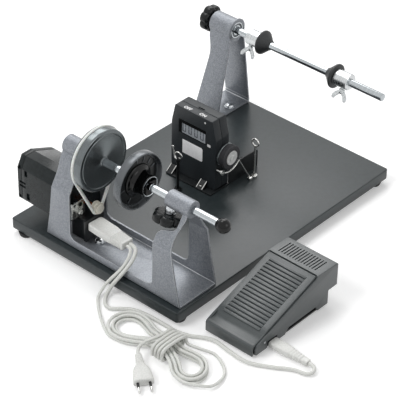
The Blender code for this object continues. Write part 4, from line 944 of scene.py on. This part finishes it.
for side, low, high, rim, tip, screw_x in (("left", -89, -63, -62.7, -45, -80),
                                           ("right", 89.3, 116, 89, 72, 107)):
    heart = Vector((screw_x, *STAND_AXIS))
    profile = [(low, 6.3), (low, 12.2), (low + 1.1, 13.3), (high - 1.1, 13.3), (high, 12.2), (high, 6.3)]
    collar = turned(f"spool_collar_{side}", profile, "x", STAND_AXIS, 96)
    tapped = turned("tapped", [(3, 0), (3, 3.3), (20, 3.3), (20, 0)], "z", (0, 0), 32)
    combine(collar, "DIFFERENCE", place(tapped, to_screw(heart)))
    fit(smooth(collar, 40), turned_aluminium, f"holder_{side}", "aluminium", f"collar_{side}")

    step = 1 if tip > rim else -1
    profile = [(rim, 6.3), (rim, 19.2), (rim + 0.3 * step, 19.8), (rim + 0.9 * step, 20),
               (rim + 2.8 * step, 20), (rim + 3.5 * step, 19.7), (rim + 5 * step, 18.4),
               (tip - 2.2 * step, 9.1), (tip - 1 * step, 8.4), (tip, 8), (tip, 6.3)]
    lathe(f"spool_cone_{side}", profile, "x", STAND_AXIS, 96, 40, hard_rubber, f"holder_{side}", "rubber",
          f"cone_{side}")

    shank = turned(f"wing_shank_{side}", [(6.4, 0), (6.4, 3), (14.2, 3), (14.2, 4), (15, 4.8), (20.4, 4.6),
                                          (21.6, 3.8), (22, 2.8), (22, 0)], "z", (0, 0), 48)
    fit(smooth(place(shank, to_screw(heart)), 40), wing_zinc, f"wing_{side}", "steel", f"wing_screw_{side}")
    for hand in (-1, 1):
        leaf = [(1, 16, 0), (4, 16, 1), (10, 21.6, 8), (13.7, 27, 4), (13, 32.2, 2.4), (9.6, 32.7, 2.4),
                (6.2, 27, 6), (1, 21.5, 0)]
        wing = slab(f"wing_{side}_{'left' if hand < 0 else 'right'}", "y",
                    rounded([(hand * a, b, radius) for a, b, radius in leaf]), -1.2, 1.2)
        fit(bevel(place(wing, to_screw(heart)), 0.8, 3, 40), wing_zinc, f"wing_{side}", "steel")

# The line counter: a black ABS box moulded in two halves that meet at a seam, with a liquid crystal
# display in a window and a slide switch on top. It stands in a folded black steel cradle.
COUNTER_FRONT, COUNTER_SPLIT, COUNTER_REAR = 13.0, 28.0, 44.0
WHEEL = (34.5, 61.0)
counter_abs = surface("black_textured_abs", "#25292c", "#2e3235", 1.2, (0.32, 0.42), relief=0.012,
                      Specular_IOR_Level=0.24)
face_view = rounded([(-81, 2.8, 2), (11, 2.8, 2), (11, 94, 6), (3, 126, 2.5), (-74, 126, 2.5), (-81, 94, 6)])
room_view = [(-78.5, 5.3), (8.5, 5.3), (8.5, 93.7), (1, 123.5), (-72, 123.5), (-78.5, 93.7)]


def counter_half(name, low, high, room):
    """Half of the counter's box, hollow to a wall of 2.5 mm and rounded at its outer edges."""
    half = bevel(slab(name, "y", face_view, low, high), 0.7, 3, 40)
    return combine(half, "DIFFERENCE", slab("room", "y", room_view, *room))


face_half = counter_half("counter_face", COUNTER_FRONT, COUNTER_SPLIT,
                         (COUNTER_FRONT + 2.5, COUNTER_SPLIT + 1))
window = corner_posts((-66, 79), (-9.5, 104), 1.0)
combine(face_half, "DIFFERENCE", slab("window", "y", window, COUNTER_FRONT - 1, COUNTER_FRONT + 4))
fit(smooth(face_half), counter_abs, "machine", "black_plastic", "counter_front")
back_half = counter_half("counter_back", COUNTER_SPLIT + 0.3, COUNTER_REAR,
                         (COUNTER_SPLIT - 1, COUNTER_REAR - 2.5))
slot = slab("slot", "z", corner_posts((-41.4, 30), (-28.6, 33), 0.6), 120, 130)
combine(back_half, "DIFFERENCE", bar("x", WHEEL, 3.3, 5, 15), slot)
fit(smooth(back_half), counter_abs, "machine", "black_plastic", "counter_rear")

# The display: grey glass with four dark zeros, each of six bars, sunk behind the face.
display_glass = surface("liquid_crystal_glass", "#a6abb1", "#b3b8be", 14.0, (0.1, 0.16), Coat_Weight=0.5,
                        Coat_Roughness=0.05)
display_ink = surface("dark_display_segment", "#51565c", "#595e64", 2.0, (0.3, 0.4))
pane = corner_posts((-65.7, 79.3), (-9.8, 103.7), 0.8)
glass = bevel(slab("display_glass", "y", pane, COUNTER_FRONT + 0.9, COUNTER_FRONT + 2.4), 0.2, 2, 40)
fit(glass, display_glass, "machine", "display", "counter_window")
DIGITS, FIRST_DIGIT, DIGIT_STEP, DIGIT_WIDE, DIGIT_TALL = 4, (-58.5, 83.2), 12.2, 7.2, 16.2
for k in range(DIGITS):
    left, bottom, thick = FIRST_DIGIT[0] + DIGIT_STEP * k, FIRST_DIGIT[1], 1.7
    right, top, middle = left + DIGIT_WIDE, bottom + DIGIT_TALL, bottom + DIGIT_TALL / 2
    strokes = {"base": ((left + 0.5, bottom), (right - 0.5, bottom + thick)),
               "head": ((left + 0.5, top - thick), (right - 0.5, top)),
               "low_left": ((left, bottom + 0.8), (left + thick, middle - 0.4)),
               "low_right": ((right - thick, bottom + 0.8), (right, middle - 0.4)),
               "high_left": ((left, middle + 0.4), (left + thick, top - 0.8)),
               "high_right": ((right - thick, middle + 0.4), (right, top - 0.8))}
    for stroke, (low, high) in strokes.items():
        segment = slab(f"digit_{k}_{stroke}", "y", corner_posts(low, high, 0.4), COUNTER_FRONT + 0.6,
                       COUNTER_FRONT + 0.85)
        fit(smooth(segment), display_ink, "machine", "display")

# A black mask in front of the glass leaves only the digits' part of it open. It is a printed border, drawn
# wider at the left and the top as painted shade of the window's frame, and it covers the digits' tops in that
# shade.
mask = slab("display_border_painted_shade", "y", pane, COUNTER_FRONT + 0.2, COUNTER_FRONT + 0.5)
opening = corner_posts((-59.8, 80.2), (-10.8, 98.0), 0.6)
combine(mask, "DIFFERENCE", slab("opening", "y", opening, COUNTER_FRONT, COUNTER_FRONT + 1))
fit(mask, gloss_black, "machine", "gloss_black")

# A bare white plate under the display, and white marks filled into the moulding.
white_plate = surface("white_printed_vinyl", "#efeff0", "#f6f6f7", 4.0, (0.35, 0.45), relief=0.01)
white_fill = surface("white_filled_marking", "#dcdcdc", "#ececec", 1.5, (0.5, 0.6))
outline = rounded([(-57.5, 44, 0.8), (-15.7, 44, 3), (-15.7, 69, 3), (-57.5, 69, 0.8)])
plate = bevel(slab("face_plate", "y", outline, COUNTER_FRONT - 0.35, COUNTER_FRONT - 0.02), 0.1, 2, 40)
fit(plate, white_plate, "machine", "white_plastic")
for name, low, high, radius in (("power_dot", (-12.9, 117.0), (-10.3, 120.4), 1.2),
                                ("unit_mark", (-6.4, 78.0), (0.4, 82.6), 0.9)):
    mark = slab(name, "y", corner_posts(low, high, radius), COUNTER_FRONT - 0.2, COUNTER_FRONT - 0.02)
    fit(smooth(mark), white_fill, "machine", "white_plastic")
for word, spot in (("OFF", (-58.9, 15.4)), ("ON", (-28.3, 16.6))):
    bpy.ops.object.select_all(action="DESELECT")
    bpy.ops.object.text_add(location=at(*spot, 126.02))
    lettering = bpy.context.object
    lettering.name = f"lettering_{word.lower()}"
    lettering.data.body = word
    lettering.data.size = 8.2 * MM
    lettering.data.extrude = 0.08 * MM
    lettering.data.offset = 0.3 * MM
    bpy.ops.object.convert(target="MESH")
    settle(bpy.context.object)
    fit(bpy.context.object, white_fill, "machine", "white_plastic")

# The slide switch: a grooved dark grey thumb piece in its slot.
slider = slab("switch_thumb", "z", corner_posts((-41, 30.4), (-35, 32.6), 0.5), 122, 127.6)
for step in range(3):
    start, end = -40.1 + 1.7 * step, -39.3 + 1.7 * step
    groove = slab("groove", "y", [(start, 127.1), (end, 127.1), (end, 129), (start, 129)], 30, 33)
    combine(slider, "DIFFERENCE", groove)
combine(slider, "UNION", slab("foot", "z", corner_posts((-43, 29.6), (-33, 33.4), 0.4), 120.5, 122.6))
switch_grey = surface("grey_switch_nylon", "#2c2f31", "#383b3d", 1.5, (0.4, 0.5), relief=0.02)
fit(bevel(slider, 0.15, 2, 40), switch_grey, "switch", "white_plastic", "switch_slider")

circuit = surface("green_solder_mask", "#1f5a33", "#2c7042", 3.0, (0.3, 0.45), relief=0.02)
refinish(circuit, "counter_board")

# The cradle that carries the counter: folded black steel with two bright edged lugs in front.
black_steel = surface("black_painted_steel", "#121516", "#1a1d1f", 3.0, (0.28, 0.38), relief=0.01,
                      Specular_IOR_Level=0.4)
outline = rounded([(-80, -1, 2), (14, -1, 2), (14, 113, 3), (-20, 113, 3), (-20, 46, 2), (-80, 46, 2)])
cradle = slab("counter_cradle", "z", outline, 0.3, 2.5)
outline = rounded([(44.5, 1, 0), (113, 1, 0), (113, 33, 4), (44.5, 35, 0)])
combine(cradle, "UNION", slab("web", "x", outline, 11.3, 13.5))
fit(bevel(cradle, 0.3, 2, 40), black_steel, "machine", "black_steel", "counter_bracket")
outline = rounded([(-1, 0.6, 0), (2, 0.6, 0), (12.7, 11, 1), (12.7, 13.5, 0.6), (-1, 2.6, 1)])
for side, low, high in (("left", -80, -68), ("right", -17, -4)):
    lug = slab(f"cradle_lug_{side}", "x", outline, low, high)
    fit(bevel(lug, 0.4, 2, 30), black_steel, "machine", "black_steel")
    for edge, x in (("a", low + 0.8), ("b", high - 0.8)):
        lug_wire = piped(f"lug_{side}_wire_{edge}", [(x, 0.2, 3.6), (x, 11.8, 13.2)], 0.7)
        fit(lug_wire, nickel, "machine", "nickel")
profile = [(5.4, 0), (5.4, 2), (6.6, 2), (7.4, 1.6), (8, 0.9), (8.2, 0)]
lathe("lug_screw", profile, "z", (-10.5, 3.6), 32, 35, nickel, "machine", "nickel")

# The measuring wheel: a white moulded wheel with a ribbed rubber tyre that the line runs round, and
# a bent wire guard below it, screwed to the counter.
white_wheel = surface("white_moulded_acetal", "#e4e4e3", "#f0f0ef", 2.5, (0.3, 0.42), relief=0.01)
profile = [(5, 0), (5, 3), (15.1, 3), (15.1, 12), (26.6, 12), (27, 11.6), (27, 9.4), (26.7, 9.1),
           (26.7, 5.4), (27, 5.2), (28, 4.4), (28, 1.7), (27.3, 1.4), (27.3, 0)]
lathe("wheel_body", profile, "x", WHEEL, 96, 40, white_wheel, "measuring", "white_plastic", "measuring_wheel")
profile = [(11.3, 3.2), (11.3, 19.2), (12, 20), (14.2, 20), (14.9, 19.4), (14.9, 3.2)]
lathe("wheel_flange", profile, "x", WHEEL, 96, 40, dark_anodised, "measuring", "nickel")
profile = [(15.3, 12.3), (15.3, 18.6), (15.9, 19.6), (16.8, 20)]
for k in range(5):
    profile += [(17.4 + 1.5 * k, 20), (17.7 + 1.5 * k, 19.4), (18.3 + 1.5 * k, 19.4), (18.6 + 1.5 * k, 20)]
profile += [(25, 20), (25.7, 19.4), (26, 18.6), (26, 12.3)]
tyre_rubber = surface("black_tyre_rubber", "#2a2a2d", "#3a3a3d", 2.0, (0.6, 0.72), relief=0.03)
lathe("line_tyre", profile, "x", WHEEL, 96, 40, tyre_rubber, "measuring", "tyre", "wheel_tyre")

bow = [(22, a, b) for a, b in arc(*WHEEL, 27.3, 230, 322, 30)]
bend = [tuple(p) for p in smooth_run([bow[-1], (24, 62, 33), (27, 71, 15), (29, 77, 4)], 3)]
guard_wire = piped("guard_wire", bow + bend[1:], 1.2)
fit(guard_wire, nickel, "machine", "nickel", "line_guard")
profile = [(11.3, 0), (11.3, 2.2), (20.6, 2.2), (20.6, 4.2), (21, 4.6), (23.4, 4.6), (24, 4.2), (24, 1.8),
           (23.2, 1.6), (23.2, 0)]
lathe("guard_stud", profile, "x", bow[0][1:], 40, 40, nickel, "machine", "nickel")
guard_nut = bevel(turned("guard_nut", [(0.3, 0), (0.3, 4.9), (5, 4.9), (5, 0)], "z", (29, 77), 6), 0.3, 2, 25)
fit(guard_nut, nickel, "machine", "nickel")

# The line guides: in front a blackened pin with a bright pigtail, behind it a bright pin with a ring.
FRONT_GUIDE, REAR_GUIDE, EYE_Z, EYE_R = (-35, -22), (29.3, 86.8), 65, 6.4
blackened = surface("blackened_steel", "#17191a", "#242728", 2.0, (0.25, 0.4), 0.7, relief=0.02)
post = [(0.3, 0), (0.3, 6), (3.4, 6), (4, 5.4), (4, 2.2), (53.8, 2.2), (54, 3.4), (54.4, 3.7), (59.6, 3.7),
        (60, 3.4), (60, 2.2), (62, 2.0), (62, 0)]
lathe("guide_post", post, "z", FRONT_GUIDE, 48, 40, blackened, "machine", "black_steel", "front_guide")
curl = [(-32.6 + 6 * math.sin(t), -22 - 2.2 * t / math.pi, 67 - 6 * math.cos(t))
        for t in np.linspace(0, 1.9 * math.pi, 48)]
tail = [tuple(p) for p in smooth_run([curl[-1], (-37.6, -26.6, 63), (-40, -27, 70), (-41.5, -27, 83)], 2)]
pigtail = piped("guide_pigtail", [(*FRONT_GUIDE, 57)] + curl + tail[1:], 1.4)
fit(pigtail, nickel, "machine", "nickel")
post = [(0.3, 0), (0.3, 4.8), (3.6, 4.8), (4, 4.4), (4, 1.8), (58, 1.8), (58, 0)]
lathe("ring_post", post, "z", REAR_GUIDE, 48, 40, nickel, "machine", "nickel", "rear_guide")
ring = [(REAR_GUIDE[0] + EYE_R * math.cos(t), REAR_GUIDE[1], EYE_Z + EYE_R * math.sin(t))
        for t in np.linspace(0, 2 * math.pi, 65)[:-1]]
ring_guide = piped("ring_guide", ring, 1.4, closed=True)
fit(ring_guide, nickel, "machine", "nickel")

# The foot pedal: a black ABS housing over a base plate, with a ribbed treadle that turns on a steel
# pin at its toe and is pushed back up by a coil spring. Slots in its top cool the resistor inside.
PEDAL_LOW, PEDAL_HIGH, PEDAL_WALL = 203.0, 297.0, 2.7
PEDAL_PIN = (-203.0, -10.0)
TREADLE_FRONT, TREADLE_KINK = Vector((-226.0, -4.0)), Vector((-88.0, 43.0))


def on_slope(share, drop=0.0):
    """A point of the treadle's upper line in the YZ plane, dropped square to it."""
    line = TREADLE_KINK - TREADLE_FRONT
    return tuple(TREADLE_FRONT + line * share + Vector((line.y, -line.x)).normalized() * drop)


def joined(name, pieces):
    """Several pieces made one."""
    pick(*pieces)
    bpy.ops.object.join()
    pieces[0].name = name
    return pieces[0]


def copies(piece, steps):
    """A piece and its copies, each with its own mesh, at steps in bench millimetres."""
    made = []
    for step in steps:
        twin = piece.copy()
        twin.data = piece.data.copy()
        twin.data.transform(Matrix.Translation(Vector(step) * MM))
        bpy.context.scene.collection.objects.link(twin)
        made.append(twin)
    bpy.data.objects.remove(piece)
    return made


pedal_abs = surface("black_pedal_abs", "#434849", "#4d5253", 1.3, (0.34, 0.42), relief=0.012,
                    Specular_IOR_Level=0.65)
side_line = [(-222, -23, 1), (-224, -12, 2), (*on_slope(0.03, 4), 3), (*on_slope(0.98, 4), 0), (-88, 43, 1.5),
             (-42, 41, 0), (-40, 39, 1), (-40, 1, 1), (-60, 1, 1), (-60, -23, 1), (-84, -23, 1),
             (-88, -14, 1), (-150, -14, 1), (-158, -23, 1)]
pedal_shell = bevel(slab("pedal_shell", "x", rounded(side_line, 4), PEDAL_LOW, PEDAL_HIGH), 1.3, 4, 32)
room = [(-230, -30), (-230, 60), (-86.9, 60), (-86.9, 40), (-43, 38.2), (-42.7, 3.7), (-62.7, 3.7),
        (-62.7, -30)]
vent = slab("vent", "z", corner_posts((215, -80), (217, -51), 0.9), 36, 46)
vent_cuts = joined("vents", copies(vent, [(5.2 * k, 0, 0) for k in range(14)]))
mouth = slab("mouth", "x", corner_posts((-198, -24), (-176, -11.5), 0.6), PEDAL_HIGH - 4, PEDAL_HIGH + 1)
combine(pedal_shell, "DIFFERENCE", slab("room", "x", room, PEDAL_LOW + PEDAL_WALL, PEDAL_HIGH - PEDAL_WALL),
        vent_cuts, bar("x", PEDAL_PIN, 2.3, PEDAL_LOW - 1, PEDAL_HIGH + 1), mouth)
fit(smooth(pedal_shell), pedal_abs, "machine", "pedal_grey", "pedal_housing")

# The treadle: moulded ABS, hollowed a little at the toe, with 17 grooves across it for grip.
base_low, base_high = PEDAL_LOW + PEDAL_WALL + 0.3, PEDAL_HIGH - PEDAL_WALL - 0.3
plate = [(-228, -23, 0), (-228, -6, 3), (-225.6, -3.9, 1.5), (-221, -4.6, 3), (-209, -3.4, 12),
         (*on_slope(0.2), 24), (*on_slope(0.995), 1.2), (-88.8, 39.5, 0.6), (-80, 38.2, 0), (-80, 35.4, 0),
         (-90, 36.2, 0), (*on_slope(0.97, 3), 0), (*on_slope(0.2, 3.4), 20), (-208, -6.6, 8),
         (-222, -8, 2), (-225.2, -11, 1), (-225.2, -23, 0)]
treadle_plate = bevel(slab("treadle_plate", "x", rounded(plate), base_low, base_high), 0.9, 3, 50)
RIB_FIRST, RIB_STEP, RIB_WIDE = 0.155, 0.046, 0.015


def across(name, share, wide, under, over, low, high):
    """A bar across the treadle, between two depths square to its slope."""
    outline = [on_slope(share, under), on_slope(share, -over), on_slope(share + wide, -over),
               on_slope(share + wide, under)]
    return slab(name, "x", outline, low, high)


line = TREADLE_KINK - TREADLE_FRONT
steps = [(0, *(line * RIB_STEP * k)) for k in range(17)]
grooves = copies(bevel(across("groove", RIB_FIRST, RIB_WIDE, 1.7, 2.0, 216, 284), 0.5, 2, 40), steps)
combine(treadle_plate, "DIFFERENCE", joined("grooves", grooves),
        bar("x", PEDAL_PIN, 2.3, PEDAL_LOW, PEDAL_HIGH))
fit(smooth(treadle_plate), pedal_abs, "pedal_treadle", "pedal_grey", "treadle")
rib = bevel(across("rib", RIB_FIRST + RIB_WIDE, RIB_STEP - RIB_WIDE, 1.2, 0.6, 216, 284), 0.5, 2, 40)
ribs = joined("treadle_ribs", copies(rib, steps))
fit(smooth(ribs), pedal_abs, "pedal_treadle", "pedal_grey")
flange_line = [(*on_slope(0.03, 2), 0), (*on_slope(0.96, 2), 0), (*on_slope(0.96, 9), 2),
               (*on_slope(0.25, 9), 4), (-196, -13, 3), (-206, -15.5, 3), (-214, -13, 3),
               (*on_slope(0.03, 9), 1)]
for side, low in (("left", base_low), ("right", base_high - 2)):
    flange = slab(f"treadle_flange_{side}", "x", rounded(flange_line, 4), low, low + 2)
    combine(flange, "DIFFERENCE", bar("x", PEDAL_PIN, 2.3, low - 1, low + 3))
    fit(bevel(flange, 0.3, 2, 40), pedal_abs, "pedal_treadle", "pedal_grey")

profile = [(PEDAL_LOW, 0), (PEDAL_LOW, 1.6), (PEDAL_LOW + 0.4, 2), (PEDAL_HIGH - 0.4, 2), (PEDAL_HIGH, 1.6),
           (PEDAL_HIGH, 0)]
lathe("hinge_rod", profile, "x", PEDAL_PIN, 40, 35, zinc, "machine", "steel", "pedal_hinge_pin")

# The base plate: black moulded nylon with four rubber footed pillars, two lugs for the pin and the
# spring's seat. The bare resistor block and the spring stand on it.
outline = corner_posts((base_low, -221), (base_high, -63), 3)
base_plate = bevel(slab("pedal_floor", "z", outline, -24.5, -21.5), 0.4, 2, 40)
fit(base_plate, inlet_black, "machine", "black_plastic", "pedal_base")
profile = [(FLOOR, 0), (FLOOR, 5.2), (FLOOR + 0.8, 6), (-24.6, 6), (-24.6, 0)]
for side, x in (("left", base_low + 10), ("right", base_high - 10)):
    for end, y in (("front", -210), ("rear", -76)):
        lathe(f"pedal_foot_{side}_{end}", profile, "z", (x, y), 32, 40, foot_rubber, "machine", "rubber")
for side, x in (("left", base_low + 4), ("right", base_high - 7)):
    lug = [(-210, -21.6), (-210, -12)] + arc(*PEDAL_PIN, 6, 200, -20, 12) + [(-196, -12), (-196, -21.6)]
    piece = slab(f"pin_lug_{side}", "x", lug, x, x + 3)
    combine(piece, "DIFFERENCE", bar("x", PEDAL_PIN, 2.3, x - 1, x + 4))
    fit(bevel(piece, 0.25, 2, 40), inlet_black, "machine", "black_plastic")
profile = [(-21.6, 0), (-21.6, 3.5), (-16.4, 3.5), (-16, 3.1), (-16, 0)]
lathe("spring_seat", profile, "z", (250, -120), 32, 40, inlet_black, "machine", "black_plastic")
spring_steel = surface("spring_steel_wire", "#8f9294", "#a9abac", 1.5, (0.2, 0.32), 1.0, relief=0.01)
refinish(spring_steel, "pedal_spring")
fired_clay = surface("fired_resistor_body", "#6b4a33", "#835c40", 2.0, (0.6, 0.75), relief=0.04)
refinish(fired_clay, "pedal_rheostat")

low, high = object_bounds()
